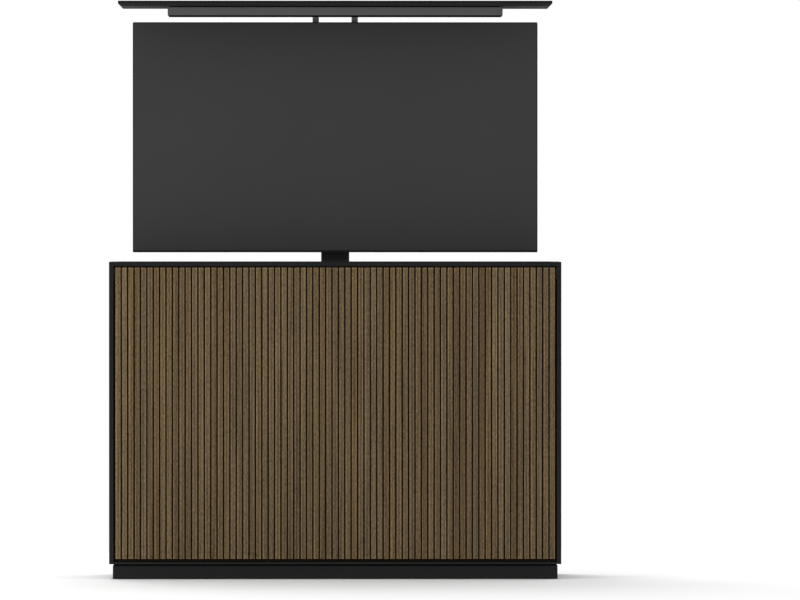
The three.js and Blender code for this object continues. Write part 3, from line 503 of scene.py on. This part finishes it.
black_melamine = pressed_finish(
    "black_melamine", melamine_black, melamine_grain, melamine_rough, depth=0.00006, dust=0.05
)
coat_nodes(["partition_left", "partition_right", "divider_panel", "storage_deck"], black_melamine)
coat_nodes(["shelf_" + bay for bay in bays], black_melamine)
coat_nodes(["back_panel_left", "back_panel_right", "rear_mullion"], black_melamine)


# Slatted doors. Each door is a dark board with vertical slats of solid oak glued to its face, given a grey
# brown stain and oiled. The slats are rounded along their edges, and each comes from another plank. Their
# faces are painted lighter towards the edges and ends as painted highlight, and their sides darker deeper
# in the grooves as painted shade.
slats_per_door = 23
slat_count = slats_per_door * len(bays)
slat_field_margin = 0.0053
slat_groove = 0.0056
slat_end_trim = 0.0019
slat_depth = 0.007
slat_in_board = 0.0002
slat_foot = 0.0085
slat_head = 0.0011
slat_round = 0.0010
slat_round_steps = 3
slat_end_sanding = (0.0008, 0.0003, 0.0)
oak_light = (0.225, 0.159, 0.084, 1)
oak_dark = (0.026, 0.0160, 0.0066, 1)
oak_shine = 0.15
oak_rough = (0.66, 0.52)
# Added to a slat's number for its plank's second random value
second_draw = 0.37
# How far apart in the grain the planks are taken
plank_apart = (7.0, 7.0, 7.0)
plank_hue = (0.497, 0.503)
plank_saturation = (0.98, 1.12)
plank_value = (0.88, 1.12)
grain_wander = (30, 30, 5)
grain_wander_width = 0.002
# Streaks of the grain: how fine each is across, into and along the slat, its detail and roughness, how
# softly it shows, and its share of the light tone
grain_streaks = {
    "bands": ((240, 240, 1.6), 2.0, 0.6, 0.09, 0.25),
    "figure": ((300, 300, 80), 2.0, 0.6, 0.12, 0.28),
    "rings": ((330, 330, 2.0), 3.0, 0.7, 0.09, 0.26),
    "fibres": ((1500, 1500, 20), 3.0, 0.7, 0.16, 0.21),
}
oak_pore = (0.030, 0.019, 0.010, 1)
pore_fineness = (3000, 3000, 130)
pore_crowding = 0.72
pore_strength = 0.57
pore_core = 0.32
pore_bottom = 0.30
pore_edge = 0.46
# Painted highlight: the slat face is painted lighter towards its edges and at its ends
edge_highlight_share = 0.32
edge_highlight_value = (0.89, 1.32)
end_highlight_height = 0.004
end_highlight_value = 1.8
# Painted shade: the slat sides are painted this dark brown deeper into the grooves
groove_shade_brown = (0.0042, 0.0018, 0.0006, 1)
groove_shade_from = 0.0006
groove_shade_full = 0.0022
oak_relief = 0.00012
oak_relief_strength = 0.8
fibre_span = (0.2, 0.8)
fibre_depth = 0.5
pore_depth = 0.7
board_brown = (0.0125, 0.0062, 0.0012, 1)
board_black = (0.0135, 0.0125, 0.0115, 1)
board_peel = 900.0
board_round = 0.0008
bore_radius = 0.0044
bore_depth = 0.0143
bore_sides = 24

inner_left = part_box("side_panel_left")[1].x
inner_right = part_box("side_panel_right")[0].x
field_left = inner_left + slat_field_margin
field_width = inner_right - inner_left - 2 * slat_field_margin
slat_pitch = field_width / slat_count
slat_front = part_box("door_center")[0].y
slat_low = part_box("door_center")[0].z + slat_foot
slat_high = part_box("door_center")[1].z - slat_head
board_front = slat_front + slat_depth


def stretch(tree, place, scale):
    """A place with each axis stretched by its own amount."""
    return add_node(tree, "Mapping", {"Vector": place, "Scale": scale}).outputs[0]


def shifted(tree, place, way):
    """A place moved by this way."""
    return add_node(tree, "VectorMath", {0: place, 1: way}, operation="ADD").outputs[0]


def oak_finish():
    """Stained, oiled oak grained along the slats, with painted highlight at edges and ends and painted
    shade in grooves.
    """
    finish, tree, shader = new_finish("brown_oak", specular=oak_shine)
    place = own_place(tree)
    axes = add_node(tree, "SeparateXYZ", {0: place})

    # The place across the doors, counted in slats, and two random values for each slat's plank
    from_field = calculate(tree, "SUBTRACT", axes.outputs["X"], field_left)
    slat_place = calculate(tree, "DIVIDE", from_field, slat_pitch)
    number = calculate(tree, "FLOOR", slat_place)
    other_number = calculate(tree, "ADD", number, second_draw)
    plank = add_node(tree, "TexWhiteNoise", {"W": number}, noise_dimensions="1D").outputs["Value"]
    other = add_node(tree, "TexWhiteNoise", {"W": other_number}, noise_dimensions="1D").outputs["Value"]

    # The grain: streaks along the slat that wander a little, and dark pores crowded in the darker figure
    apart = add_node(tree, "CombineXYZ", {0: plank, 2: other}).outputs[0]
    apart = add_node(tree, "VectorMath", {0: apart, 1: plank_apart}, operation="MULTIPLY").outputs[0]
    moved = shifted(tree, place, apart)
    wander = noise(tree, stretch(tree, moved, grain_wander), 1.0, detail=2.0)
    sideways = add_node(tree, "CombineXYZ", {0: calculate(tree, "MULTIPLY", wander, grain_wander_width)})
    bent = shifted(tree, moved, sideways.outputs[0])
    streaks = {}
    lightness = 0.0
    for title, (fineness, detail, roughness, softness, share) in grain_streaks.items():
        streaks[title] = noise(tree, stretch(tree, bent, fineness), 1.0, detail, roughness)
        part = remap(tree, streaks[title], 0.5 - softness, 0.5 + softness, 0.0, share)
        lightness = calculate(tree, "ADD", lightness, part)
    wood = mix_colour(tree, lightness, oak_dark, oak_light)
    crowding = calculate(tree, "SUBTRACT", streaks["figure"], 0.5)
    crowding = calculate(tree, "MULTIPLY", crowding, pore_crowding)
    pore_lines = noise(tree, stretch(tree, bent, pore_fineness), 1.0, detail=1.0)
    pore_lines = calculate(tree, "ADD", pore_lines, crowding)
    pores = remap(tree, pore_lines, pore_core, pore_edge, pore_strength, 0.0)
    wood = mix_colour(tree, pores, wood, oak_pore)
    wood = add_node(
        tree,
        "HueSaturation",
        {
            "Color": wood,
            "Hue": remap(tree, other, 0.0, 1.0, *plank_hue),
            "Saturation": remap(tree, plank, 0.0, 1.0, *plank_saturation),
            "Value": remap(tree, other, 0.0, 1.0, *plank_value),
        },
    ).outputs["Color"]

    # Painted highlight lightens the face towards its edges and at its ends, and painted shade darkens the
    # slat sides deeper in the grooves
    from_middle = calculate(tree, "SUBTRACT", calculate(tree, "FRACT", slat_place), 0.5)
    from_middle = calculate(tree, "ABSOLUTE", from_middle)
    half_face = 0.5 * (1 - slat_groove / slat_pitch)
    edge_highlight = remap(tree, from_middle, half_face - edge_highlight_share, half_face, *edge_highlight_value, "SMOOTHSTEP")
    wood = tint(tree, wood, edge_highlight)
    foot = remap(tree, axes.outputs["Z"], slat_low, slat_low + end_highlight_height, 1.0, 0.0)
    head = remap(tree, axes.outputs["Z"], slat_high - end_highlight_height, slat_high, 0.0, 1.0)
    ends = calculate(tree, "MAXIMUM", foot, head)
    wood = tint(tree, wood, remap(tree, ends, 0.0, 1.0, 1.0, end_highlight_value))
    # Painted shade: the slat sides turn dark brown with depth into the grooves
    depth = calculate(tree, "SUBTRACT", axes.outputs["Y"], slat_front)
    groove_shade = remap(tree, depth, groove_shade_from, groove_shade_full, 0.0, 1.0)
    fill(tree, shader.inputs["Base Color"], mix_colour(tree, groove_shade, wood, groove_shade_brown))

    # The oil leaves the fibres a little rough, and the open pores lie deeper than they do
    oiled = remap(tree, streaks["fibres"], *fibre_span, *oak_rough)
    fill(tree, shader.inputs["Roughness"], oiled)
    fibre_height = calculate(tree, "MULTIPLY", streaks["fibres"], fibre_depth)
    pore_height = remap(tree, pore_lines, pore_bottom, pore_edge, 0.0, 1.0)
    pore_height = calculate(tree, "MULTIPLY", pore_height, pore_depth)
    height = calculate(tree, "ADD", fibre_height, pore_height)
    relief(tree, shader, height, oak_relief, oak_relief_strength)
    return finish


def smooth_round(piece, angle=32):
    """Smooth shading over the rounded edges only."""
    piece.data.shade_smooth()
    piece.data.set_sharp_from_angle(angle=math.radians(angle))


def skin_rings(rings, first):
    """Faces between rings of points of the same count, closed at both ends."""
    count = len(rings[0])
    last = first + (len(rings) - 1) * count
    faces = [tuple(reversed(range(first, first + count))), tuple(range(last, last + count))]
    for level in range(len(rings) - 1):
        start = first + level * count
        for i in range(count):
            j = (i + 1) % count
            faces.append((start + i, start + j, start + count + j, start + count + i))
    return faces


def skinned_piece(name, bodies):
    """One piece of several closed bodies, each given as its rings of points."""
    points = []
    faces = []
    for rings in bodies:
        faces += skin_rings(rings, len(points))
        points += [point for ring in rings for point in ring]
    return mesh_piece(name, points, faces)


def box_shape(low, high):
    """A mesh under construction: the box between two corners."""
    shape = bmesh.new()
    bmesh.ops.create_cube(shape, size=1)
    shape.transform(Matrix.Translation((low + high) / 2) @ Matrix.Diagonal((*(high - low), 1)))
    return shape


def shape_piece(name, shape):
    """A piece from a mesh under construction."""
    piece = mesh_piece(name, [], [])
    shape.to_mesh(piece.data)
    shape.free()
    return piece


def slat_sides(number):
    """Left and right side of a slat. The outermost two reach a little nearer to the body."""
    left_gap = slat_groove / 2 if number > 0 else slat_end_trim
    right_gap = slat_groove / 2 if number < slat_count - 1 else slat_end_trim
    left = field_left + number * slat_pitch + left_gap
    right = field_left + (number + 1) * slat_pitch - right_gap
    return left, right


def slat_section(number, inset):
    """Outline of a slat seen from above, with rounded front edges."""
    left, right = slat_sides(number)
    back = board_front + slat_in_board
    points = [(right - inset, back), (left + inset, back)]
    for x, turn in ((left + inset + slat_round, 180), (right - inset - slat_round, 270)):
        for step in range(slat_round_steps + 1):
            angle = math.radians(turn + 90 * step / slat_round_steps)
            y = slat_front + inset + slat_round * (1 + math.sin(angle))
            points.append((x + slat_round * math.cos(angle), y))
    return points


def slat_rings(number):
    """Rings of points up a slat, drawn in at both ends where the edge is rounded off."""
    reach = slat_end_sanding[0]
    levels = [(slat_low + reach - inset, inset) for inset in slat_end_sanding]
    levels += [(slat_high - reach + inset, inset) for inset in reversed(slat_end_sanding)]
    return [[(x, y, z) for x, y in slat_section(number, inset)] for z, inset in levels]


def bored_board(side):
    """The board behind a door's slats, with the bores for the two pivots in its lower and upper edge."""
    low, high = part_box("door_" + side)
    shape = box_shape(Vector((low.x, board_front, low.z)), high)
    bmesh.ops.bevel(
        shape, geom=shape.edges[:], offset=board_round, segments=2, affect="EDGES", profile=0.5
    )
    board = shape_piece("door_board_" + side, shape)
    drill_shape = bmesh.new()
    for end, edge in (("bottom", low.z), ("top", high.z)):
        pivot_low, pivot_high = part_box("pivot_" + end + "_" + side)
        middle = (pivot_low + pivot_high) / 2
        bmesh.ops.create_cone(
            drill_shape,
            cap_ends=True,
            segments=bore_sides,
            radius1=bore_radius,
            radius2=bore_radius,
            depth=2 * bore_depth,
            matrix=Matrix.Translation((middle.x, middle.y, edge)),
        )
    drill = shape_piece("drill_" + side, drill_shape)
    boring = board.modifiers.new("pivot_bores", "BOOLEAN")
    boring.object = drill
    boring.operation = "DIFFERENCE"
    boring.solver = "EXACT"
    bored = board.evaluated_get(bpy.context.evaluated_depsgraph_get())
    bored_mesh = bpy.data.meshes.new_from_object(bored)
    board.modifiers.clear()
    board.data = bored_mesh
    bpy.data.objects.remove(drill)
    return board


brown_oak = oak_finish()
dark_board = sprayed_finish(
    "dark_board",
    board_black,
    board_peel,
    clouding=0.4,
    roughness=(0.6, 0.75),
    depth=0.00003,
    specular=0.1,
)
board_tree = dark_board.node_tree
board_axes = add_node(board_tree, "SeparateXYZ", {0: own_place(board_tree)})
face_from = board_front + board_round
face_to = board_front + 2 * board_round
board_face = remap(board_tree, board_axes.outputs["Y"], face_from, face_to, 1.0, 0.0)
paint_over(dark_board, board_face, board_brown)

for door_number, side in enumerate(bays):
    node = "door_" + side
    first_slat = door_number * slats_per_door
    numbers = range(first_slat, first_slat + slats_per_door)
    slats = skinned_piece("slats_" + side, [slat_rings(number) for number in numbers])
    smooth_round(slats)
    slats.data.materials.append(brown_oak)
    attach(slats, node)
    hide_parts(node)

    board = bored_board(side)
    board.data.materials.clear()
    board.data.materials.append(dark_board)
    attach(board, node)
    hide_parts(node)


# Pivots and lifting screws. Turned from steel: the blackened pivots carry the doors top and bottom, and
# the two bright lifting screws turn inside the column.
steel_grey = (0.52, 0.53, 0.54, 1)
steel_rough = (0.22, 0.38)
steel_black = (0.020, 0.020, 0.021, 1)
black_rough = (0.4, 0.55)
turning_fineness = (30, 30, 2400)
turning_depth = 0.00002
stain_scale = 40.0
stain_value = (0.82, 1.08)

# Turning marks: fine rings round the axis, and faint stains
turning_marks, turned_in, turned_out = new_effect(
    "turning_marks",
    [
        ("Place", "Vector", (0, 0, 0)),
        ("Colour", "Color", steel_grey),
        ("Lowest Roughness", "Float", steel_rough[0]),
        ("Highest Roughness", "Float", steel_rough[1]),
    ],
    [("Colour", "Color"), ("Roughness", "Float"), ("Height", "Float")],
)
turned_place = stretch(turning_marks, turned_in.outputs["Place"], turning_fineness)
turned_rings = noise(turning_marks, turned_place, 1.0, detail=2.0)
turned_stains = noise(turning_marks, turned_in.outputs["Place"], stain_scale, detail=5.0, roughness=0.7)
turned_value = remap(turning_marks, turned_stains, *usual_noise, *stain_value)
turned_colour = tint(turning_marks, turned_in.outputs["Colour"], turned_value)
turned_rough = remap(
    turning_marks,
    turned_rings,
    *usual_noise,
    turned_in.outputs["Lowest Roughness"],
    turned_in.outputs["Highest Roughness"],
)
fill(turning_marks, turned_out.inputs["Colour"], turned_colour)
fill(turning_marks, turned_out.inputs["Roughness"], turned_rough)
fill(turning_marks, turned_out.inputs["Height"], turned_rings)


def turned_steel(name, colour, roughness):
    """Steel with fine turning marks round its axis."""
    finish, tree, shader = new_finish(name, metallic=1.0)
    marks = place_effect(
        tree,
        turning_marks,
        Place=own_place(tree),
        Colour=colour,
        Lowest_Roughness=roughness[0],
        Highest_Roughness=roughness[1],
    )
    fill(tree, shader.inputs["Base Color"], marks.outputs["Colour"])
    fill(tree, shader.inputs["Roughness"], marks.outputs["Roughness"])
    relief(tree, shader, marks.outputs["Height"], turning_depth)
    return finish


bright_steel = turned_steel("bright_steel", steel_grey, steel_rough)
blackened_steel = turned_steel("blackened_steel", steel_black, black_rough)
coat_nodes(["pivot_bottom_" + side for side in bays], blackened_steel)
coat_nodes(["pivot_top_" + side for side in bays], blackened_steel)
coat_nodes(["screw_inner", "screw_outer"], bright_steel)


# Shelf pins. Each shelf lies on four turned steel pins with a collar, pushed into holes in the boards
# beside it.
pin_radius = 0.0025
pin_length = 0.009
pin_chamfer = 0.0006
collar_radius = 0.0045
collar_length = 0.0016
collar_chamfer = 0.0003
collar_end = 0.9 * collar_radius
pin_tip = 0.75 * pin_radius
pin_from_edge = 0.032
pin_gap = 0.0002
pin_sides = 20
# Each step of the pin: its distance from the board and its radius
pin_profile = (
    (0.0, collar_end),
    (collar_chamfer, collar_radius),
    (collar_length - collar_chamfer, collar_radius),
    (collar_length, collar_end),
    (collar_length, pin_radius),
    (pin_length - pin_chamfer, pin_radius),
    (pin_length, pin_tip),
)


def circle(radius, sides):
    """Points round a circle."""
    angles = [2 * math.pi * i / sides for i in range(sides)]
    return [(radius * math.cos(angle), radius * math.sin(angle)) for angle in angles]


def turned_pin(foot, way):
    """Rings of points of a pin that stands out of a board, this way."""
    rings = []
    for length, radius in pin_profile:
        ring = [(foot.x + way * length, foot.y + y, foot.z + z) for y, z in circle(radius, pin_sides)]
        if way < 0:
            ring.reverse()
        rings.append(ring)
    return rings


pins = []
for side in bays:
    low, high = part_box("shelf_" + side)
    for x, way in ((low.x, 1), (high.x, -1)):
        for y in (low.y + pin_from_edge, high.y - pin_from_edge):
            pins.append(turned_pin(Vector((x, y, low.z - collar_radius - pin_gap)), way))
shelf_pins = skinned_piece("shelf_pins", pins)
smooth_round(shelf_pins, angle=40)
shelf_pins.data.materials.append(bright_steel)
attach(shelf_pins, "cabinet")


# Touch latches. Grey moulded housings under the storage deck, each with a plunger that a push on the door
# sets free. They replace handles.
latch_grey = (0.105, 0.108, 0.112, 1)

grey_plastic = pressed_finish(
    "grey_plastic", latch_grey, scale=1400.0, roughness=(0.42, 0.55), depth=0.00003, dust=0.02
)
coat_nodes(["latch_housing_" + side for side in bays], grey_plastic)
coat_nodes(["latch_plunger_" + side for side in bays], grey_plastic)


# Levelling feet. A black rubber pad on a galvanised stem under a steel plate. They stand behind the
# plinth and take the weight.
zinc_grey = (0.34, 0.35, 0.36, 1)
rubber_black = (0.012, 0.012, 0.012, 1)
pad_height = 0.009
pad_edge = 0.0002
zinc_flake_scale = 260.0
zinc_flake_span = (0.0, 0.8)
zinc_flake_value = (1.15, 0.8)
rubber_worn_scale = 90.0
rubber_worn_value = (0.8, 1.6)
rubber_rough = 0.8
zinc_rough = 0.4
foot_grain = 700.0
foot_relief = 0.00005

foot_finish, foot_tree, foot_shader = new_finish("foot_rubber_and_zinc")
foot_place = own_place(foot_tree)
foot_steel = above(foot_tree, pad_height, pad_edge)
zinc_flake = add_node(foot_tree, "TexVoronoi", {"Vector": foot_place, "Scale": zinc_flake_scale})
zinc_value = remap(foot_tree, zinc_flake.outputs["Distance"], *zinc_flake_span, *zinc_flake_value)
zinc_tone = tint(foot_tree, zinc_grey, zinc_value)
rubber_worn = noise(foot_tree, foot_place, rubber_worn_scale, detail=4.0)
rubber_value = remap(foot_tree, rubber_worn, *usual_noise, *rubber_worn_value)
rubber_tone = tint(foot_tree, rubber_black, rubber_value)
foot_tone = mix_colour(foot_tree, foot_steel, rubber_tone, zinc_tone)
foot_rough = remap(foot_tree, foot_steel, 0.0, 1.0, rubber_rough, zinc_rough)
fill(foot_tree, foot_shader.inputs["Base Color"], foot_tone)
fill(foot_tree, foot_shader.inputs["Metallic"], foot_steel)
fill(foot_tree, foot_shader.inputs["Roughness"], foot_rough)
relief(foot_tree, foot_shader, noise(foot_tree, foot_place, foot_grain, detail=2.0), foot_relief)
coat_nodes(["foot_front_left", "foot_front_right", "foot_rear_left", "foot_rear_right"], foot_finish)


# Black fittings. Cable grommet, power inlet and control box are moulded in black plastic with a fine
# sparked texture.
plastic_black = (0.0105, 0.0108, 0.0112, 1)

black_plastic = pressed_finish(
    "black_plastic", plastic_black, scale=1500.0, roughness=(0.45, 0.58), depth=0.00003, dust=0.03
)
coat_nodes(["cable_grommet", "power_inlet", "control_box"], black_plastic)


# Screws in the back panels. Black pan-head screws with a hexagon socket hold both panels to the body and
# to the batten behind their joint.
panel_head_radius = 0.0036
panel_head_height = 0.0018
panel_screw_inset = 0.014
panel_screw_rows = 5
head_sides = 24
# Steps of a screw head and of its socket: shares of the head's radius and of its height
head_steps = ((0.96, 0.0), (1.0, 0.12), (1.0, 0.55), (0.92, 0.88), (0.78, 1.0))
socket_steps = ((0.50, 1.0), (0.46, 0.9), (0.46, 0.25))


def hexagon(radius, sides):
    """Points round a hexagon, as many as the circle around it has."""
    points = []
    for i in range(sides):
        angle = 2 * math.pi * i / sides
        reach = radius * math.cos(math.pi / 6) / math.cos(angle % (math.pi / 3) - math.pi / 6)
        points.append((reach * math.cos(angle), reach * math.sin(angle)))
    return points


def socket_screws(name, places, facing, radius, height, body, finish):
    """Screw heads with a hexagon socket, at these places and facing this way."""
    turn = Vector(facing).to_track_quat("Z", "Y").to_matrix()
    profile = []
    for outline, steps in ((circle, head_steps), (hexagon, socket_steps)):
        for reach, rise in steps:
            ring = outline(radius * reach, head_sides)
            profile.append([turn @ Vector((x, y, height * rise)) for x, y in ring])
    screws = [[[point + Vector(spot) for point in ring] for ring in profile] for spot in places]
    heads = skinned_piece(name, screws)
    smooth_round(heads, angle=40)
    heads.data.materials.append(finish)
    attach(heads, body)


def even_steps(low, high, count):
    """Even steps from low to high."""
    return [low + (high - low) * i / (count - 1) for i in range(count)]


for side in ("left", "right"):
    low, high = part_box("back_panel_" + side)
    left = low.x + panel_screw_inset
    right = high.x - panel_screw_inset
    bottom = low.z + panel_screw_inset
    top = high.z - panel_screw_inset
    panel_spots = []
    for z in even_steps(bottom, top, panel_screw_rows):
        panel_spots += [(left, high.y, z), (right, high.y, z)]
    for x in even_steps(left, right, panel_screw_rows)[1:-1]:
        panel_spots += [(x, high.y, bottom), (x, high.y, top)]
    socket_screws(
        "panel_screws_" + side,
        panel_spots,
        (0, 1, 0),
        panel_head_radius,
        panel_head_height,
        "cabinet",
        blackened_steel,
    )


# Lift base. A powder-coated plate on the bottom board carries the cast gearbox and the motor, whose steel
# can is painted black.
base_black = (0.0115, 0.0117, 0.0122, 1)
powder_peel = 1100.0
powder_skin = 0.00005
cast_grey = (0.34, 0.345, 0.35, 1)
cast_pit_scale = 520.0
cast_pit_value = (0.75, 1.12)
cast_rough_span = (0.62, 0.48)
cast_relief = 0.0002
base_head_radius = 0.0055
base_head_height = 0.0035
base_screw_inset = 0.012


def powder_coat(name, colour, clouding, roughness):
    """A baked powder coat on steel."""
    return sprayed_finish(name, colour, powder_peel, clouding, roughness, powder_skin)


black_powder = powder_coat("black_powder_coat", base_black, clouding=0.25, roughness=(0.42, 0.55))
coat_nodes(["lift_base_plate", "drive_motor"], black_powder)

cast_alloy, cast_tree, cast_shader = new_finish("cast_alloy", metallic=0.85)
cast_pits = noise(cast_tree, own_place(cast_tree), cast_pit_scale, detail=4.0, roughness=0.7)
cast_value = remap(cast_tree, cast_pits, *usual_noise, *cast_pit_value)
cast_rough = remap(cast_tree, cast_pits, *usual_noise, *cast_rough_span)
fill(cast_tree, cast_shader.inputs["Base Color"], tint(cast_tree, cast_grey, cast_value))
fill(cast_tree, cast_shader.inputs["Roughness"], cast_rough)
relief(cast_tree, cast_shader, cast_pits, cast_relief)
coat_nodes(["gearbox_housing"], cast_alloy)

low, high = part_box("lift_base_plate")
base_spots = []
for x in (low.x + base_screw_inset, high.x - base_screw_inset):
    for y in (low.y + base_screw_inset, high.y - base_screw_inset):
        base_spots.append((x, y, high.z))
socket_screws(
    "base_screws", base_spots, (0, 0, 1), base_head_radius, base_head_height, "cabinet", bright_steel
)


# Column. Three nested rectangular steel tubes with welded collars, powder-coated a very dark grey. The
# outer one stands on the lift base, and the inner one carries the screen mount.
column_grey = (0.040, 0.040, 0.040, 1)

column_coat = powder_coat("column_powder_coat", column_grey, clouding=0.25, roughness=(0.42, 0.55))
coat_nodes(["column_outer", "column_middle", "column_inner"], column_coat)


# Screen mount. A powder-coated plate over the head of the column, and two channels hooked over its
# crossbars. Bolts with hexagon sockets fix the plate to the column and the channels to the screen.
bolt_head_radius = 0.0065
bolt_head_height = 0.005
mount_bolt_aside = 0.028
mount_bolt_inset = 0.016
arm_wall = 0.0025
arm_bolt_rises = (0.045, 0.245)

coat_nodes(["tv_mount_plate", "tv_arm_left", "tv_arm_right"], black_powder)

plate_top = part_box("tv_mount_plate")[1].z
low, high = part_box("column_inner")
mount_spots = []
for x in (-mount_bolt_aside, mount_bolt_aside):
    for y in (low.y + mount_bolt_inset, high.y - mount_bolt_inset):
        mount_spots.append((x, y, plate_top))
socket_screws(
    "mount_bolts", mount_spots, (0, 0, 1), bolt_head_radius, bolt_head_height, "lift_head", bright_steel
)
arm_spots = []
for side in ("left", "right"):
    low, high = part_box("tv_arm_" + side)
    for rise in arm_bolt_rises:
        arm_spots.append(((low.x + high.x) / 2, low.y + arm_wall, low.z + rise))
socket_screws(
    "arm_bolts", arm_spots, (0, 1, 0), bolt_head_radius, bolt_head_height, "lift_head", bright_steel
)


# Lid posts. Two square tubes behind the screen, powder-coated light grey, carry the lid on welded flanges,
# which are screwed up into it.
post_grey = (0.30, 0.30, 0.305, 1)
flange_thickness = 0.003
flange_head_radius = 0.0042
flange_head_height = 0.0028
flange_screw_inset = 0.009
flange_screw_far = 2.6 * flange_screw_inset

post_coat = powder_coat("post_powder_coat", post_grey, clouding=0.2, roughness=(0.5, 0.62))
coat_nodes(["lid_post_left", "lid_post_right"], post_coat)

flange_spots = []
for side in ("left", "right"):
    low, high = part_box("lid_post_" + side)
    for x in (low.x + flange_screw_inset, high.x - flange_screw_inset):
        for y in (high.y - flange_screw_far, high.y - flange_screw_inset):
            flange_spots.append((x, y, high.z - flange_thickness))
socket_screws(
    "flange_screws",
    flange_spots,
    (0, 0, -1),
    flange_head_radius,
    flange_head_height,
    "lift_head",
    bright_steel,
)


# Tray under the lid. Folded from steel sheet and powder-coated dark grey, with a set-in rim that meets the
# lid, painted black as painted shade in the gap under the lid. It is fixed to the front of the posts, and
# a thin dead-matt black sheet under it is painted shade for its dark underside.
tray_grey = (0.072, 0.072, 0.073, 1)
tray_rim_height = 0.0038
# Painted shade: the set-in rim is painted this black to stand for the shadow in the gap under the lid
rim_shade_black = (0.0012, 0.0012, 0.0012, 1)
rim_edge = 0.0002
# Painted shade: a thin dead-matt black sheet under the tray stands for the shade on its underside
shade_sheet_black = (0.0045, 0.0045, 0.0045, 1)
shade_sheet_inset = 0.0012
shade_sheet_thickness = 0.0004
shade_sheet_corner = 0.004
shade_sheet_cell_scale = 1300.0
shade_sheet_cell_span = (0.0, 0.7)
shade_sheet_cell_value = (0.6, 1.3)
shade_sheet_relief = 0.00003

tray_low, tray_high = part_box("under_lid_tray")
tray_coat_and_shade = powder_coat("tray_powder_coat_and_shade", tray_grey, clouding=0.12, roughness=(0.5, 0.62))
# Painted shade on the set-in rim at the top of the tray
tray_rim_shade = above(tray_coat_and_shade.node_tree, tray_high.z - tray_rim_height, rim_edge)
paint_over(tray_coat_and_shade, tray_rim_shade, rim_shade_black)
coat_nodes(["under_lid_tray"], tray_coat_and_shade)

# Painted shade: the material of the black sheet under the tray, with no shine at all
shade_sheet, shade_sheet_tree, shade_sheet_shader = new_finish("black_shade_sheet", specular=0.0)
shade_sheet_cells = add_node(
    shade_sheet_tree, "TexVoronoi", {"Vector": own_place(shade_sheet_tree), "Scale": shade_sheet_cell_scale}
)
shade_sheet_value = remap(shade_sheet_tree, shade_sheet_cells.outputs["Distance"], *shade_sheet_cell_span, *shade_sheet_cell_value)
fill(shade_sheet_tree, shade_sheet_shader.inputs["Base Color"], tint(shade_sheet_tree, shade_sheet_black, shade_sheet_value))
shade_sheet_shader.inputs["Roughness"].default_value = 1.0
relief(shade_sheet_tree, shade_sheet_shader, shade_sheet_cells.outputs["Distance"], shade_sheet_relief)

shade_sheet_low = Vector((tray_low.x + shade_sheet_inset, tray_low.y + shade_sheet_inset, tray_low.z - shade_sheet_thickness))
shade_sheet_high = Vector((tray_high.x - shade_sheet_inset, tray_high.y - shade_sheet_inset, tray_low.z))
shade_sheet_shape = box_shape(shade_sheet_low, shade_sheet_high)
upright = []
for edge in shade_sheet_shape.edges:
    if abs(edge.verts[0].co.z - edge.verts[1].co.z) > shade_sheet_thickness / 2:
        upright.append(edge)
bmesh.ops.bevel(
    shade_sheet_shape, geom=upright, offset=shade_sheet_corner, segments=4, affect="EDGES", profile=0.5
)
# Painted shade: the black sheet itself, just under the tray
tray_shade_sheet = shape_piece("tray_shade_sheet", shade_sheet_shape)
tray_shade_sheet.data.materials.append(shade_sheet)
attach(tray_shade_sheet, "lift_head")


# Screen. A thin moulded housing with a narrow rim holds a glass screen with an anti-glare film. At the
# back it has air slots, and the electronics sit in the thicker lower part.
film_grey = (0.0428, 0.0428, 0.0433, 1)
film_shine = 0.15
film_cloud_scale = 1.3
film_cloud_value = (0.97, 1.03)
film_sparkle_scale = 2600.0
film_sparkle_span = (0.2, 0.8)
film_rough_span = (0.30, 0.36)
film_relief = 0.00001
vent_middles = (-0.38, 0.38)
vent_foot = 0.36
vent_height = 0.07
vent_fins = 34
vent_pitch = 0.006
fin_width = 0.0026
fin_rise = 0.0007
fin_sunk = 0.0005
fin_crest = 0.6
rear_head_radius = 0.0034
rear_head_height = 0.0012
rear_screw_places = (-0.49, -0.15, 0.15, 0.49)
rear_screw_rises = (0.075, 0.49)

coat_nodes(["tv_housing"], black_plastic)

screen_film, film_tree, film_shader = new_finish("screen_film", specular=film_shine)
film_place = own_place(film_tree)
film_sparkle = noise(film_tree, film_place, film_sparkle_scale, detail=1.0)
film_cloud = noise(film_tree, film_place, film_cloud_scale, detail=2.0)
film_value = remap(film_tree, film_cloud, *usual_noise, *film_cloud_value)
film_rough = remap(film_tree, film_sparkle, *film_sparkle_span, *film_rough_span)
fill(film_tree, film_shader.inputs["Base Color"], tint(film_tree, film_grey, film_value))
fill(film_tree, film_shader.inputs["Roughness"], film_rough)
relief(film_tree, film_shader, film_sparkle, film_relief)
coat_nodes(["tv_screen"], screen_film)


def fin_ring(x, half_width, y, low_z, high_z):
    """The four corners of an air fin at one depth."""
    left = x - half_width
    right = x + half_width
    return [(right, y, low_z), (left, y, low_z), (left, y, high_z), (right, y, high_z)]


low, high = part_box("tv_housing")
vent_low = low.z + vent_foot
vent_high = vent_low + vent_height
fins = []
for vent_middle in vent_middles:
    for number in range(vent_fins):
        x = vent_middle + (number - (vent_fins - 1) / 2) * vent_pitch
        half = fin_width / 2
        root = fin_ring(x, half, high.y - fin_sunk, vent_low, vent_high)
        crest = fin_ring(
            x, half * fin_crest, high.y + fin_rise, vent_low + fin_width, vent_high - fin_width
        )
        fins.append([root, crest])
air_fins = skinned_piece("screen_air_fins", fins)
air_fins.data.materials.append(black_plastic)
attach(air_fins, "lift_head")

rear_spots = [(x, high.y, low.z + rise) for x in rear_screw_places for rise in rear_screw_rises]
socket_screws(
    "housing_screws",
    rear_spots,
    (0, 1, 0),
    rear_head_radius,
    rear_head_height,
    "lift_head",
    blackened_steel,
)
